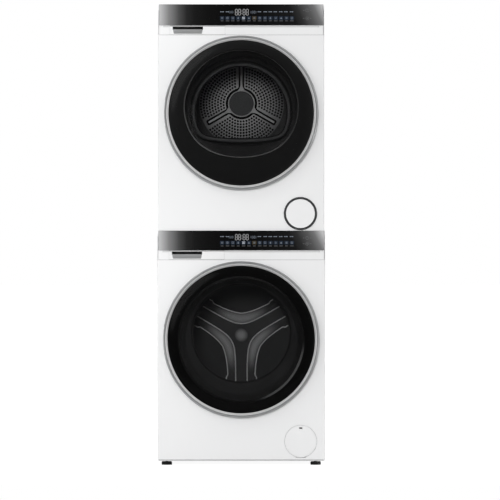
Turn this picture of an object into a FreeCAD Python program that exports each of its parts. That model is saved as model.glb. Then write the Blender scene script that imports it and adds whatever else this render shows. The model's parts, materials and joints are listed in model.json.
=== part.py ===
"""Washer dryer stack: a tumble dryer standing on a front-loading washing machine.

Millimetres. X is to the right, Y to the back and Z up. The origin is on the floor, under the middle of
the stack. Every size is a cell of the Dimensions sheet, and every place is an expression of those cells.
"""

import FreeCAD, Part
import math
import os
from types import SimpleNamespace

import Sketcher

# name of the cell, its plain number, what it is
DIMENSIONS = [
    # the two cabinets
    ("washer_width", 600, "outside width of the washer"),
    ("dryer_side_step", 3, "dryer's side, in from the washer's"),
    ("cabinet_depth", 560, "front panel to rear panel, both machines"),
    ("foot_gap", 15.4, "floor to the underside of the washer"),
    ("washer_body_height", 823.3, "washer without its feet"),
    ("dryer_height", 809.5, "dryer, from its lower edge to its top"),
    ("stack_gap", 0.5, "gap between the two machines"),
    ("washer_panel_height", 69.5, "height of the washer's control panel"),
    ("dryer_panel_height", 74.7, "height of the dryer's control panel"),
    ("strip_height", 34, "white strip under a control panel"),
    ("seam_gap", 0.4, "gap at a seam between panels"),
    ("sheet_wall", 1, "steel of the side and rear panels"),
    ("front_wall", 1.2, "steel of the front panel"),
    ("front_flange", 20, "depth of the front panel's side flange"),
    ("edge_radius", 4, "rounding of the front vertical edges"),
    ("side_flange", 15, "flange along the side panels' edges"),
    ("opening_flange", 13, "flange round the door opening"),
    ("top_thickness", 16, "thickness of a top plate"),
    ("fascia_inset", 3, "fascia, in from the cabinet's side"),
    ("fascia_depth", 60, "fascia, front to back"),
    ("fascia_wall", 3, "wall of the fascia"),
    ("panel_stand", 8, "control panel, proud of the fascia"),
    ("panel_seat", 2, "recess that the control panel sits in"),
    ("panel_corner", 6, "rounding of the control panel's upright edges"),
    # pans, feet and stacking rails
    ("pan_wall", 2.5, "wall of the base pans"),
    ("washer_pan_height", 30, "height of the washer's base pan"),
    ("dryer_pan_height", 60, "height of the dryer's base"),
    ("pan_clearance", 1.5, "base pan to side panel"),
    ("foot_radius", 18.8, "radius of a foot's pad"),
    ("foot_pad_height", 12, "height of a foot's pad"),
    ("foot_chamfer", 2, "chamfer at the top of the pad"),
    ("stud_radius", 5, "radius of a foot's stud"),
    ("stud_height", 42, "floor to the top of the stud"),
    ("foot_side_inset", 33, "foot to the cabinet's side"),
    ("foot_front_inset", 45, "foot to the cabinet's front or back"),
    ("boss_radius", 14, "boss round a foot's stud"),
    ("boss_height", 16, "height of that boss over the pan's floor"),
    ("running_gap", 0.05, "radial gap of a shaft in its bore"),
    ("rail_height", 4, "dryer's lower edge to the underside of its base"),
    ("rail_width", 60, "width of a stacking rail"),
    ("rail_inset", 12, "stacking rail to the cabinet's side"),
    ("rail_end_inset", 40, "stacking rail to the cabinet's front or back"),
    # doors, both alike apart from their radius and their bowl
    ("washer_door_side_gap", 20, "washer's door to the cabinet's side"),
    ("dryer_door_side_gap", 20.7, "dryer's door to the cabinet's side"),
    ("washer_door_top_gap", 5.2, "washer's door to the white strip"),
    ("dryer_door_top_gap", 3.7, "dryer's door to the white strip"),
    ("door_gap", 1, "door ring to front panel"),
    ("ring_front", 31, "front panel to the front of the door ring"),
    ("ring_bright_band", 16, "width of the ring that shows round the glass"),
    ("ring_band", 30, "width of the whole ring"),
    ("ring_outer_bevel", 5, "width of the outer bevel"),
    ("ring_outer_drop", 9, "depth of the outer bevel"),
    ("ring_inner_bevel", 3, "width of the inner bevel"),
    ("ring_inner_drop", 4, "depth of the inner bevel"),
    ("ring_back_bevel", 6, "width of the bevel at the back edge"),
    ("ring_back_drop", 9, "depth of the bevel at the back edge"),
    ("glass_wall", 5, "thickness of the door glass"),
    ("glass_crown", 11, "how far the glass domes out"),
    ("glass_gap", 0.3, "glass to ring"),
    ("bowl_wall", 4, "wall of the inner bowl"),
    ("bowl_seat", 12, "front panel to the front of the bowl's flange"),
    ("washer_bowl_flange", 28, "width of the flange round the washer's bowl"),
    ("washer_bowl_shoulder", 54, "width of its shoulder, from rim to neck"),
    ("washer_bowl_taper", 50, "how much it narrows from neck to inner end"),
    ("washer_bowl_neck_depth", 14, "its neck, behind the front panel"),
    ("washer_bowl_depth", 95, "its inner end, behind the front panel"),
    ("dryer_bowl_flange", 40.3, "width of the flange round the dryer's bowl"),
    ("dryer_bowl_shoulder", 16, "width of its shoulder, from rim to neck"),
    ("dryer_bowl_taper", 40, "how much it narrows from neck to inner end"),
    ("dryer_bowl_neck_depth", 10, "its neck, behind the front panel"),
    ("dryer_bowl_depth", 45, "its inner end, behind the front panel"),
    ("washer_opening_inset", 75, "washer's door edge to the opening's edge"),
    ("dryer_opening_inset", 64.3, "dryer's door edge to the opening's edge"),
    ("pin_radius", 2.5, "radius of a door's hinge pin"),
    ("pin_edge_gap", 6, "hinge pin to the door's outer edge"),
    ("pin_stand", 20, "hinge pin to the front panel"),
    ("barrel_radius", 3.5, "barrel round the hinge pin"),
    ("leaf_half_height", 28, "half the height of the door's hinge leaf"),
    ("leaf_wall", 4.3, "thickness of the hinge leaf"),
    ("leaf_reach", 9.5, "hinge leaf, out from the pin"),
    ("ear_wall", 2, "thickness of a hinge ear"),
    ("ear_height", 8, "height of a hinge ear"),
    ("ear_gap", 0.5, "ear to hinge leaf"),
    ("hinge_plate_wall", 2, "thickness of the fixed hinge plate"),
    ("hinge_plate_width", 26, "width of the fixed hinge plate"),
    ("hinge_plate_half_height", 45, "half its height"),
    ("hinge_pocket_gap", 2, "hinge plate to its pocket in the ring"),
    ("grip_depth", 17, "depth of the door's finger grip"),
    ("grip_width", 18, "width of the door's finger grip"),
    ("grip_half_height", 55, "half the height of the finger grip"),
    ("hook_inset", 50, "latch hook to the door's outer edge"),
    ("hook_wall", 8, "thickness of the latch hook"),
    ("hook_half_height", 5, "half its height"),
    ("hook_depth", 22, "its tip, behind the front panel"),
    ("hook_nose", 4, "how far its nose stands out"),
    ("lock_margin", 5, "hook to the edge of its slot"),
    ("lock_wall", 7, "wall of the door lock round the slot"),
    ("lock_half_height", 40, "half the height of the door lock"),
    ("lock_depth", 36, "back of the door lock, behind the front"),
    # washer: tub, drum and drive
    ("washer_axis_rise", 8, "drum's axis over the door's middle"),
    ("tub_side_gap", 33, "tub to the side panel"),
    ("tub_wall", 4, "wall of the tub"),
    ("tub_front", 60, "tub's front, behind the front panel"),
    ("tub_rear_gap", 116, "tub's back to the rear panel"),
    ("tub_back_wall", 6, "wall of the tub's back"),
    ("tub_opening_step", 9, "front opening's edge to the tub's"),
    ("tub_hub_radius", 40, "radius of the tub's bearing hub"),
    ("tub_hub_length", 56, "length of the hub behind the tub"),
    ("bearing_radius", 26, "outer radius of a shaft bearing"),
    ("bearing_width", 16, "width of a shaft bearing"),
    ("shaft_radius", 12.5, "radius of the drum's shaft"),
    ("shaft_rear_gap", 40, "end of the drum's shaft to the rear panel"),
    ("drum_gap", 12, "drum to the tub's wall"),
    ("drum_wall", 1, "steel of the drums"),
    ("drum_front", 75, "drum's front, behind the front panel"),
    ("drum_rear_gap", 28, "drum's back plate to the tub's back"),
    ("drum_opening_step", 14, "tub's opening to the drum's"),
    ("drum_boss_radius", 60, "radius of the boss on the drum's back"),
    ("drum_boss_height", 10, "height of that boss"),
    ("lifter_height", 48, "height of a lifter"),
    ("lifter_foot", 60, "width of a lifter at the drum"),
    ("lifter_crest", 24, "width of a lifter at its crest"),
    ("lifter_inset", 30, "lifter to either end of the drum"),
    ("spider_thickness", 14, "thickness of the spider's arms"),
    ("spider_hub_radius", 45, "radius of the spider's hub"),
    ("spider_arm_width", 34, "width of a spider's arm"),
    ("spider_rim_gap", 12, "spider's arm to the drum's shell"),
    ("stator_radius", 112, "outer radius of the motor's stator"),
    ("stator_bore", 46, "bore of the stator"),
    ("stator_length", 30, "length of the stator"),
    ("rotor_gap", 4, "stator to rotor"),
    ("rotor_wall", 5, "wall of the rotor"),
    ("rotor_front_gap", 6, "rotor's rim to the tub's back"),
    ("rotor_rear_gap", 53, "rotor's back to the rear panel"),
    ("gasket_reach", 27, "gasket's lip, in from the front opening"),
    ("gasket_wall", 6, "thickness of the gasket"),
    ("gasket_lip_depth", 19, "gasket's lip, behind the front panel"),
    ("counterweight_gap", 2, "counterweight to the front opening"),
    ("counterweight_inset", 10, "counterweight, in from the tub's side"),
    ("counterweight_thickness", 22, "thickness of the counterweight"),
    ("spring_radius", 12, "outer radius of a suspension spring"),
    ("spring_bore", 8, "inner radius of a suspension spring"),
    ("spring_side", 150, "suspension spring to the middle"),
    ("spring_depth", 330, "suspension springs, behind the front"),
    ("damper_radius", 14, "radius of a damper's tube"),
    ("damper_rod_radius", 6, "radius of a damper's rod"),
    ("damper_side", 120, "damper to the middle"),
    ("damper_depth", 250, "dampers, behind the front panel"),
    ("damper_tube_length", 110, "length of a damper's tube"),
    ("tub_contact_gap", 0.5, "spring or damper to the tub's wall"),
    # washer: water
    ("flap_radius", 57.2, "radius of the round filter flap"),
    ("flap_gap", 1, "flap to its hole"),
    ("flap_wall", 3, "thickness of the flap"),
    ("flap_side", 87, "flap's middle to the washer's right side"),
    ("flap_height", 70, "flap's middle over the washer's underside"),
    ("flap_slot_rise", 47.6, "finger slot over the flap's middle"),
    ("flap_slot_width", 12, "width of the finger slot"),
    ("flap_slot_height", 5, "height of the finger slot"),
    ("flap_pin_offset", 1.3, "flap's hinge to its lower edge"),
    ("flap_pin_radius", 0.9, "radius of the flap's hinge pin"),
    ("flap_notch_reach", 6, "notch for the swinging edge, past the pin's end"),
    ("pump_front", 24, "pump housing's front, behind the front"),
    ("pump_bore", 28.4, "bore of the pump's filter housing"),
    ("pump_wall", 4.6, "wall of the filter housing"),
    ("pump_collar", 38, "radius of the collar at its front"),
    ("pump_back", 110, "back of the filter housing"),
    ("pump_motor_radius", 27, "radius of the pump's motor"),
    ("pump_motor_back", 170, "back of the pump's motor"),
    ("cap_gap", 0.4, "filter cap to its bore"),
    ("cap_back", 60, "back of the filter cap"),
    ("cap_front", 26, "front of the cap, behind the grip bar"),
    ("cap_bar_front", 10, "front of the cap's grip bar"),
    ("cap_bar_width", 10, "width of the grip bar"),
    ("cap_bar_length", 42, "length of the grip bar"),
    ("spigot_reach", 22, "spigots, out of the rear panel"),
    ("spigot_root", 50, "valve body, in from the rear panel"),
    ("inlet_radius", 13.2, "outer radius of the G3/4 inlet thread"),
    ("inlet_bore", 8, "bore of the inlet"),
    ("inlet_inset", 85, "inlet to the washer's side"),
    ("inlet_drop", 54, "inlet below the washer's top"),
    ("valve_half_width", 24, "half the width of the inlet valve's body"),
    ("valve_half_height", 18, "half its height"),
    ("outlet_radius", 11, "outer radius of a drain spigot"),
    ("outlet_bore", 8.5, "bore of a drain spigot"),
    ("outlet_flange", 18, "radius of a drain spigot's flange"),
    ("outlet_inset", 85, "washer's drain spigot to its side"),
    ("outlet_drop", 58, "washer's drain spigot below its top"),
    ("rear_hole_gap", 1, "spigot to its hole in the rear panel"),
    ("gland_radius", 9, "outer radius of a mains gland"),
    ("gland_bore", 4, "bore of a mains gland"),
    ("gland_collar", 12, "radius of a mains gland's collar"),
    ("gland_reach", 12, "mains gland, out of the rear panel"),
    ("gland_inset", 48, "mains gland to the machine's side"),
    ("gland_height", 90, "mains gland over the machine's lower edge"),
    # detergent drawer and water tank
    ("drawer_left", 42, "drawer's front to the cabinet's left side"),
    ("drawer_front_width", 197, "width of the drawer's front"),
    ("drawer_gap", 0.6, "drawer's front to the strip"),
    ("drawer_front_depth", 20, "thickness of the drawer's front block"),
    ("drawer_tray_inset", 4, "tray, in from the drawer's front"),
    ("drawer_length", 250, "drawer, front to back"),
    ("drawer_wall", 2, "wall of the drawer's tray"),
    ("drawer_floor_rise", 2.6, "tray's underside over the strip's edge"),
    ("drawer_tray_height", 26, "height of the drawer's tray"),
    ("grip_slot_inset", 11, "finger slot, in from the drawer's left end"),
    ("grip_slot_width", 106, "width of the finger slot"),
    ("grip_slot_height", 8.7, "height of the finger slot"),
    ("grip_slot_top", 6.2, "finger slot below the strip's upper edge"),
    ("grip_slot_depth", 17, "depth of the finger slot"),
    ("grip_lip_wall", 4, "lip in front of the finger hollow"),
    ("grip_hollow_drop", 10, "finger hollow below the slot"),
    ("housing_gap", 1, "drawer's tray to the dispenser"),
    ("housing_wall", 2, "wall of the dispenser"),
    ("housing_length", 290, "back of the dispenser, behind the front"),
    ("tank_drum_gap", 14, "water tank to the drum beside it"),
    ("tank_rear_gap", 90, "water tank to the rear panel"),
    ("tank_wall", 2, "wall of the water tank"),
    ("tank_height", 28, "height of the water tank"),
    ("tank_spout_radius", 9, "radius of the tank's pouring hole"),
    ("tank_spout_inset", 30, "pouring hole to the tank's front"),
    # dryer: inside
    ("dryer_axis_rise", 50, "dryer drum's axis over the door's middle"),
    ("dryer_drum_side_gap", 28, "dryer's drum to the side panel"),
    ("dryer_drum_front", 122, "its front, behind the front panel"),
    ("dryer_drum_rear_gap", 60, "its back to the rear panel"),
    ("dryer_drum_lip", 18, "width of the lip round its open front"),
    ("dryer_back_wall", 2, "thickness of its back plate"),
    ("dryer_shaft_radius", 10, "radius of its rear shaft"),
    ("dryer_shaft_length", 45, "length of its rear shaft"),
    ("rear_bearing_radius", 24, "bearing housing on the rear panel"),
    ("rear_bearing_gap", 14, "bearing housing to the drum's back"),
    ("bulkhead_depth", 90, "front bulkhead, behind the front panel"),
    ("bulkhead_wall", 4, "thickness of the bulkhead"),
    ("bulkhead_margin", 4.5, "bulkhead below the rollers' axles"),
    ("loading_step", 36, "front opening's edge to the loading opening's"),
    ("loading_rise", 6, "that opening over the door's middle"),
    ("loading_drop", 101, "its flat edge below the door's middle"),
    ("filter_half_width", 105, "half the width of the lint filter"),
    ("filter_height", 100, "height of the lint filter"),
    ("filter_wall", 9, "thickness of the lint filter"),
    ("filter_screen", 1.5, "thickness of the filter's screen"),
    ("filter_rib", 6, "width of the filter's ribs"),
    ("filter_gap", 1.5, "filter to its pocket"),
    ("filter_top_drop", 7, "filter's top below the loading opening"),
    ("filter_pocket_wall", 2.5, "wall of the filter's pocket"),
    ("roller_radius", 30, "radius of a support roller"),
    ("roller_width", 24, "width of a support roller"),
    ("roller_gap", 0.4, "roller to drum"),
    ("roller_side", 126, "roller's axle to the middle"),
    ("roller_depth", 128, "front of the rollers, behind the front"),
    ("axle_radius", 6, "radius of a roller's axle"),
    ("motor_foot_height", 3, "motor over the floor of the dryer's base"),
    ("motor_radius", 55, "outer radius of the dryer's motor"),
    ("motor_core_radius", 25, "radius of the rotor's core"),
    ("motor_core_gap", 0.6, "rotor's core to the stator"),
    ("motor_rear_gap", 176, "motor to the rear panel"),
    ("motor_length", 88, "length of the motor"),
    ("motor_end_wall", 6, "end wall of the motor"),
    ("motor_shaft_radius", 8, "radius of the motor's shaft"),
    ("motor_foot_half_width", 40, "half the width of the motor's foot"),
    ("pulley_radius", 10, "radius of the motor's pulley"),
    ("belt_rear_gap", 162, "front of the belt to the rear panel"),
    ("belt_width", 12, "width of the belt"),
    ("belt_wall", 2, "thickness of the belt"),
    ("belt_gap", 0.3, "belt to drum and pulley"),
    ("compressor_radius", 58, "radius of the compressor"),
    ("compressor_height", 130, "height of the compressor"),
    ("compressor_inset", 107, "compressor's middle to the dryer's side"),
    ("compressor_motor_gap", 46, "compressor's middle to the motor's front"),
    ("exchanger_inset", 27, "heat exchangers to the dryer's side"),
    ("exchanger_width", 150, "width of the heat exchangers"),
    ("exchanger_height", 80, "height of the heat exchangers"),
    ("evaporator_front", 30, "evaporator's front, behind the front"),
    ("exchanger_length", 100, "length of each heat exchanger"),
    ("exchanger_gap", 30, "evaporator to condenser"),
    ("pipe_radius", 5, "radius of the refrigerant pipes"),
    ("condensate_inset", 82, "condensate spigot to the dryer's side"),
    ("condensate_height", 180, "condensate spigot over the lower edge"),
    # round service cover of the dryer
    ("cover_radius", 51.4, "radius of the service cover"),
    ("cover_gap", 1, "cover to its ring"),
    ("cover_ring_radius", 59.5, "outer radius of the dark ring"),
    ("cover_ring_stand", 3, "dark ring, proud of the front panel"),
    ("cover_ring_barrel", 8, "ring's barrel, behind the front panel"),
    ("cover_ring_wall", 1.5, "wall of that barrel"),
    ("cover_side", 85, "cover's middle to the dryer's right side"),
    ("cover_height", 61, "cover's middle over the dryer's lower edge"),
]


class Size:
    """A length that knows its number and the expression of cells that it comes from."""

    def __init__(self, number, text):
        self.number = number
        self.text = text

    def __add__(self, other):
        other = size(other)
        return Size(self.number + other.number, f"({self.text} + {other.text})")

    def __sub__(self, other):
        other = size(other)
        return Size(self.number - other.number, f"({self.text} - {other.text})")

    def __mul__(self, other):
        other = size(other)
        return Size(self.number * other.number, f"({self.text} * {other.text})")

    def __truediv__(self, other):
        other = size(other)
        return Size(self.number / other.number, f"({self.text} / {other.text})")

    def __neg__(self):
        return Size(-self.number, f"(-1 * {self.text})")

    def __radd__(self, other):
        return size(other) + self

    def __rsub__(self, other):
        return size(other) - self

    def __rmul__(self, other):
        return size(other) * self


def size(value):
    """A Size as it is, or a plain number as one."""
    return value if isinstance(value, Size) else Size(value, f"{value:.12g}")


def root(value):
    return Size(math.sqrt(value.number), f"sqrt({value.text})")


def leg(long_side, short_side):
    """The other leg of a right-angled triangle."""
    return root(long_side * long_side - short_side * short_side)


def fill_sheet(document):
    """Puts the dimensions in the document's spreadsheet and returns them by name."""
    sheet = document.addObject("Spreadsheet::Sheet", "Dimensions")
    sizes = SimpleNamespace()
    for row, (name, number, meaning) in enumerate(DIMENSIONS, start=1):
        sheet.set(f"A{row}", name)
        sheet.set(f"B{row}", str(number))
        sheet.set(f"C{row}", meaning)
        sheet.setAlias(f"B{row}", name)
    document.recompute()
    for name, _, _ in DIMENSIONS:
        setattr(sizes, name, Size(float(sheet.get(name)), f"Dimensions.{name}"))
    return sizes


document = FreeCAD.newDocument("washer_dryer_stack")
d = fill_sheet(document)
nodes = []

X_AXIS = FreeCAD.Vector(1, 0, 0)
Y_AXIS = FreeCAD.Vector(0, 1, 0)
Z_AXIS = FreeCAD.Vector(0, 0, 1)
ALONG = {
    "x": FreeCAD.Rotation(Y_AXIS, 90),
    "y": FreeCAD.Rotation(X_AXIS, -90),
    "z": FreeCAD.Rotation(),
}


# ---------------------------------------------------------------------------------------------------
# helpers: each makes one object of the document with its sizes bound to the sheet


def bind(feature, name, value):
    feature.setExpression(name, size(value).text)


def place(feature, position, rotation=FreeCAD.Rotation()):
    """Places a feature: its rotation is fixed and its position bound."""
    numbers = [size(value).number for value in position]
    feature.Placement = FreeCAD.Placement(FreeCAD.Vector(*numbers), rotation)
    for axis, value in zip("xyz", position):
        bind(feature, f"Placement.Base.{axis}", value)
    return feature


def block(label, x, y, z):
    """A box from the low to the high value of each pair."""
    part = document.addObject("Part::Box", label)
    for name, (low, high) in zip(("Length", "Width", "Height"), (x, y, z)):
        bind(part, name, size(high) - low)
    return place(part, (x[0], y[0], z[0]))


def rod(label, axis, radius, start, length):
    """A cylinder along an axis, from the point start."""
    part = document.addObject("Part::Cylinder", label)
    bind(part, "Radius", radius)
    bind(part, "Height", length)
    return place(part, start, ALONG[axis])


def cone(label, axis, radius_start, radius_end, start, length):
    part = document.addObject("Part::Cone", label)
    bind(part, "Radius1", radius_start)
    bind(part, "Radius2", radius_end)
    bind(part, "Height", length)
    return place(part, start, ALONG[axis])


def fuse(label, *shapes):
    joined = document.addObject("Part::MultiFuse", label)
    joined.Shapes = list(shapes)
    return joined


def cut(label, base, *tools):
    """The base with every tool taken out of it."""
    result = document.addObject("Part::Cut", label)
    result.Base = base
    result.Tool = tools[0] if len(tools) == 1 else fuse(f"{label}_tools", *tools)
    return result


def overlap(label, first, second):
    result = document.addObject("Part::Common", label)
    result.Base = first
    result.Tool = second
    return result


def mirrored(label, source):
    """The source and its mirror image in the plane x = 0."""
    other = document.addObject("Part::Mirroring", f"{label}_mirror")
    other.Source = source
    other.Base = FreeCAD.Vector(0, 0, 0)
    other.Normal = X_AXIS
    return fuse(label, source, other)


def node(feature, label):
    """Marks a feature as a sub-part of its own."""
    feature.Label = label
    nodes.append(feature)
    return feature


def draw(sketch, points):
    """A closed outline. A point is (x, y), or (x, y, radius) where an arc leaves it.

    A positive radius turns anticlockwise on the way to the next point, a negative one clockwise.
    """
    ends = []
    for index, point in enumerate(points):
        following = points[(index + 1) % len(points)]
        start = FreeCAD.Vector(size(point[0]).number, size(point[1]).number)
        end = FreeCAD.Vector(size(following[0]).number, size(following[1]).number)
        if len(point) == 2:
            edge = sketch.addGeometry(Part.LineSegment(start, end), False)
            ends.append((edge, 1, 2))
        else:
            edge, first, last = draw_arc(sketch, start, end, size(point[2]))
            ends.append((edge, first, last))
    for index, (edge, _, last) in enumerate(ends):
        next_edge, first, _ = ends[(index + 1) % len(ends)]
        sketch.addConstraint(Sketcher.Constraint("Coincident", edge, last, next_edge, first))
    for (edge, first, _), point in zip(ends, points):
        hold(sketch, "DistanceX", edge, first, size(point[0]), -2)
        hold(sketch, "DistanceY", edge, first, size(point[1]), -1)
        if len(point) == 3:
            radius = size(point[2])
            number = abs(radius.number)
            constraint = sketch.addConstraint(Sketcher.Constraint("Radius", edge, number))
            sketch.setExpression(f"Constraints[{constraint}]", f"abs({radius.text})")


def draw_arc(sketch, start, end, radius):
    """Adds an arc and returns its index and which of its ends is at start and which at end."""
    turn = math.copysign(1, radius.number)
    reach = abs(radius.number)
    middle = (start + end) / 2
    chord = end - start
    side = FreeCAD.Vector(-chord.y, chord.x, 0).normalize()
    height = math.sqrt(max(reach**2 - (chord.Length / 2) ** 2, 0))
    centre = middle + side * (height * turn)
    circle = Part.Circle(centre, Z_AXIS, reach)
    first, last = (start, end) if turn > 0 else (end, start)
    angles = [math.atan2(point.y - centre.y, point.x - centre.x) for point in (first, last)]
    if angles[1] < angles[0]:
        angles[1] += 2 * math.pi
    edge = sketch.addGeometry(Part.ArcOfCircle(circle, *angles), False)
    return (edge, 1, 2) if turn > 0 else (edge, 2, 1)


def hold(sketch, kind, edge, end, value, axis):
    """Holds an end of an edge at a distance from the sketch's origin, or on its axis."""
    if value.text == "0":
        sketch.addConstraint(Sketcher.Constraint("PointOnObject", edge, end, axis))
        return
    constraint = sketch.addConstraint(Sketcher.Constraint(kind, -1, 1, edge, end, value.number))
    sketch.setExpression(f"Constraints[{constraint}]", value.text)


def sketched_body(label, role, points):
    """A body with one sketch on the plane of that role of its own origin."""
    body = document.addObject("PartDesign::Body", label)
    plane = [feature for feature in body.Origin.OriginFeatures if feature.Role == role][0]
    sketch = body.newObject("Sketcher::SketchObject", f"{label}_outline")
    sketch.AttachmentSupport = [(plane, "")]
    sketch.MapMode = "FlatFace"
    draw(sketch, points)
    return body, sketch


def turned(label, points, middle_x, middle_z):
    """Points (radius, y) turned about the line along Y through (middle_x, middle_z)."""
    body, sketch = sketched_body(label, "XY_Plane", points)
    turn = body.newObject("PartDesign::Revolution", f"{label}_turn")
    turn.Profile = (sketch, [""])
    turn.ReferenceAxis = (sketch, ["V_Axis"])
    turn.Angle = 360
    return place(body, (middle_x, 0, middle_z))


def raised(label, points, low, high):
    """Points (x, y) padded upwards from low to high."""
    body, sketch = sketched_body(label, "XY_Plane", points)
    pad = body.newObject("PartDesign::Pad", f"{label}_pad")
    pad.Profile = (sketch, [""])
    bind(pad, "Length", size(high) - low)
    return place(body, (0, 0, low))


def facing(label, points, front, rear, middle=(0, 0), angle=0):
    """Points (x, z) about a middle, padded from rear to front and turned by an angle about Y."""
    body, sketch = sketched_body(label, "XZ_Plane", points)
    pad = body.newObject("PartDesign::Pad", f"{label}_pad")
    pad.Profile = (sketch, [""])
    bind(pad, "Length", size(rear) - front)
    return place(body, (middle[0], rear, middle[1]), FreeCAD.Rotation(Y_AXIS, -angle))


# ---------------------------------------------------------------------------------------------------
# places that several parts share

door_reach = d.ring_front - d.ring_inner_drop + d.glass_crown
front = -(door_reach + d.cabinet_depth + d.spigot_reach) / 2 + door_reach
back = front + d.cabinet_depth


def behind(distance):
    """A place behind the front panels' face, or ahead of it if negative."""
    return front + distance


def ahead(distance):
    """A place ahead of the rear panels' face."""
    return back - distance


def washer_places():
    low = d.foot_gap
    top = low + d.washer_body_height
    half = d.washer_width / 2
    radius = half - d.washer_door_side_gap
    rim = radius - d.ring_band - d.washer_bowl_flange
    neck = rim - d.washer_bowl_shoulder
    panel_low = top - d.washer_panel_height
    return SimpleNamespace(
        name="washer",
        half=half,
        low=low,
        top=top,
        panel_low=panel_low,
        pan_low=low,
        pan_height=d.washer_pan_height,
        door_z=panel_low - d.strip_height - d.washer_door_top_gap - radius,
        door_radius=radius,
        opening=radius - d.washer_opening_inset,
        bowl=(rim, neck, neck - d.washer_bowl_taper),
        bowl_depths=(d.washer_bowl_neck_depth, d.washer_bowl_depth),
        axis_rise=d.washer_axis_rise,
    )


def dryer_places(below):
    low = below.top + d.stack_gap
    top = low + d.dryer_height
    half = below.half - d.dryer_side_step
    radius = half - d.dryer_door_side_gap
    rim = radius - d.ring_band - d.dryer_bowl_flange
    neck = rim - d.dryer_bowl_shoulder
    panel_low = top - d.dryer_panel_height
    return SimpleNamespace(
        name="dryer",
        half=half,
        low=low,
        top=top,
        panel_low=panel_low,
        pan_low=low + d.rail_height,
        pan_height=d.dryer_pan_height,
        door_z=panel_low - d.strip_height - d.dryer_door_top_gap - radius,
        door_radius=radius,
        opening=radius - d.dryer_opening_inset,
        bowl=(rim, neck, neck - d.dryer_bowl_taper),
        bowl_depths=(d.dryer_bowl_neck_depth, d.dryer_bowl_depth),
        axis_rise=d.dryer_axis_rise,
    )


washer = washer_places()
dryer = dryer_places(washer)
for machine in (washer, dryer):
    machine.strip_low = machine.panel_low - d.strip_height
    machine.lid_low = machine.top - d.top_thickness
    machine.drawer_left = d.drawer_left - machine.half
    machine.drawer_right = machine.drawer_left + d.drawer_front_width
    machine.axis = machine.door_z + machine.axis_rise
    machine.gland_x = d.gland_inset - machine.half
    machine.gland_z = machine.low + d.gland_height
    machine.hook_x = machine.door_radius - d.hook_inset

# radii inside the washer, each a named step in from the one before it
tub_radius = washer.half - d.sheet_wall - d.tub_side_gap
tub_opening = washer.opening - d.tub_opening_step
drum_radius = tub_radius - d.tub_wall - d.drum_gap
drum_opening = tub_opening - d.drum_opening_step
dryer_drum_radius = dryer.half - d.sheet_wall - d.dryer_drum_side_gap
loading_radius = dryer.opening - d.loading_step
inlet_place = (washer.half - d.inlet_inset, washer.top - d.inlet_drop)
outlet_place = (d.outlet_inset - washer.half, washer.top - d.outlet_drop)
condensate_place = (dryer.half - d.condensate_inset, dryer.low + d.condensate_height)


# ---------------------------------------------------------------------------------------------------
# cabinet parts, the same on both machines


def pan_box(machine, label, inset, floor):
    half = machine.half - d.sheet_wall - d.pan_clearance - inset
    deep = (behind(d.front_flange + d.pan_clearance) + inset, back - d.sheet_wall - d.pan_clearance - inset)
    return block(label, (-half, half), deep, (machine.pan_low + floor, machine.pan_low + machine.pan_height))


def base_pan(machine):
    outside = pan_box(machine, f"{machine.name}_pan_outside", 0, 0)
    inside = pan_box(machine, f"{machine.name}_pan_inside", d.pan_wall, d.pan_wall)
    return cut(f"{machine.name}_pan", outside, inside)


def side_panels(machine):
    outer = machine.half
    inner = machine.half - d.sheet_wall
    edge = machine.half - d.side_flange
    near = behind(d.front_flange + d.seam_gap)
    far = back - d.sheet_wall - d.seam_gap
    points = [
        (outer, near),
        (outer, far),
        (edge, far),
        (edge, far - d.sheet_wall),
        (inner, far - d.sheet_wall),
        (inner, near + d.sheet_wall),
        (edge, near + d.sheet_wall),
        (edge, near),
    ]
    label = f"{machine.name}_side_panels"
    high = machine.lid_low - d.seam_gap
    side = raised(f"{label}_right", points, machine.low, high)
    notch = block(
        f"{label}_fascia_notch",
        (edge - d.sheet_wall, inner),
        (near - d.sheet_wall, behind(d.fascia_depth + d.seam_gap)),
        (machine.strip_low - d.seam_gap, high + d.sheet_wall),
    )
    node(mirrored(label, cut(f"{label}_side", side, notch)), label)


def front_panel_blank(machine):
    """The pressed front: a plate with rounded upright edges and a flange along each side."""
    half = machine.half
    wall = d.front_wall
    radius = d.edge_radius
    near, far = front, behind(d.front_flange)
    points = [
        (-half, far),
        (-half, near + radius, radius),
        (radius - half, near),
        (half - radius, near, radius),
        (half, near + radius),
        (half, far),
        (half - wall, far),
        (half - wall, near + radius, wall - radius),
        (half - radius, near + wall),
        (radius - half, near + wall, wall - radius),
        (wall - half, near + radius),
        (wall - half, far),
    ]
    label = f"{machine.name}_front_blank"
    return raised(label, points, machine.low, machine.strip_low - d.seam_gap)


def hook_slot_sides(machine):
    return machine.hook_x - d.lock_margin, machine.hook_x + d.hook_wall + d.hook_nose + d.lock_margin


def front_panel(machine, service_hole):
    """The front panel with its door opening, its hook slot and its service hole."""
    name = f"{machine.name}_front"
    edge = turned(
        f"{name}_opening_flange",
        [
            (machine.opening, behind(d.front_wall)),
            (machine.opening + d.front_wall, behind(d.front_wall)),
            (machine.opening + d.front_wall, behind(d.front_wall + d.opening_flange)),
            (machine.opening, behind(d.front_wall + d.opening_flange)),
        ],
        0,
        machine.door_z,
    )
    through = d.front_wall * 3
    start = behind(-d.front_wall)
    opening = rod(f"{name}_opening", "y", machine.opening, (0, start, machine.door_z), through)
    half = d.hook_half_height + d.lock_margin
    slot = block(
        f"{name}_hook_slot",
        hook_slot_sides(machine),
        (start, start + through),
        (machine.door_z - half, machine.door_z + half),
    )
    plate = cut(f"{name}_plate", front_panel_blank(machine), opening, service_hole, slot)
    node(fuse(f"{name}_panel", plate, edge), f"{name}_panel")


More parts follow.
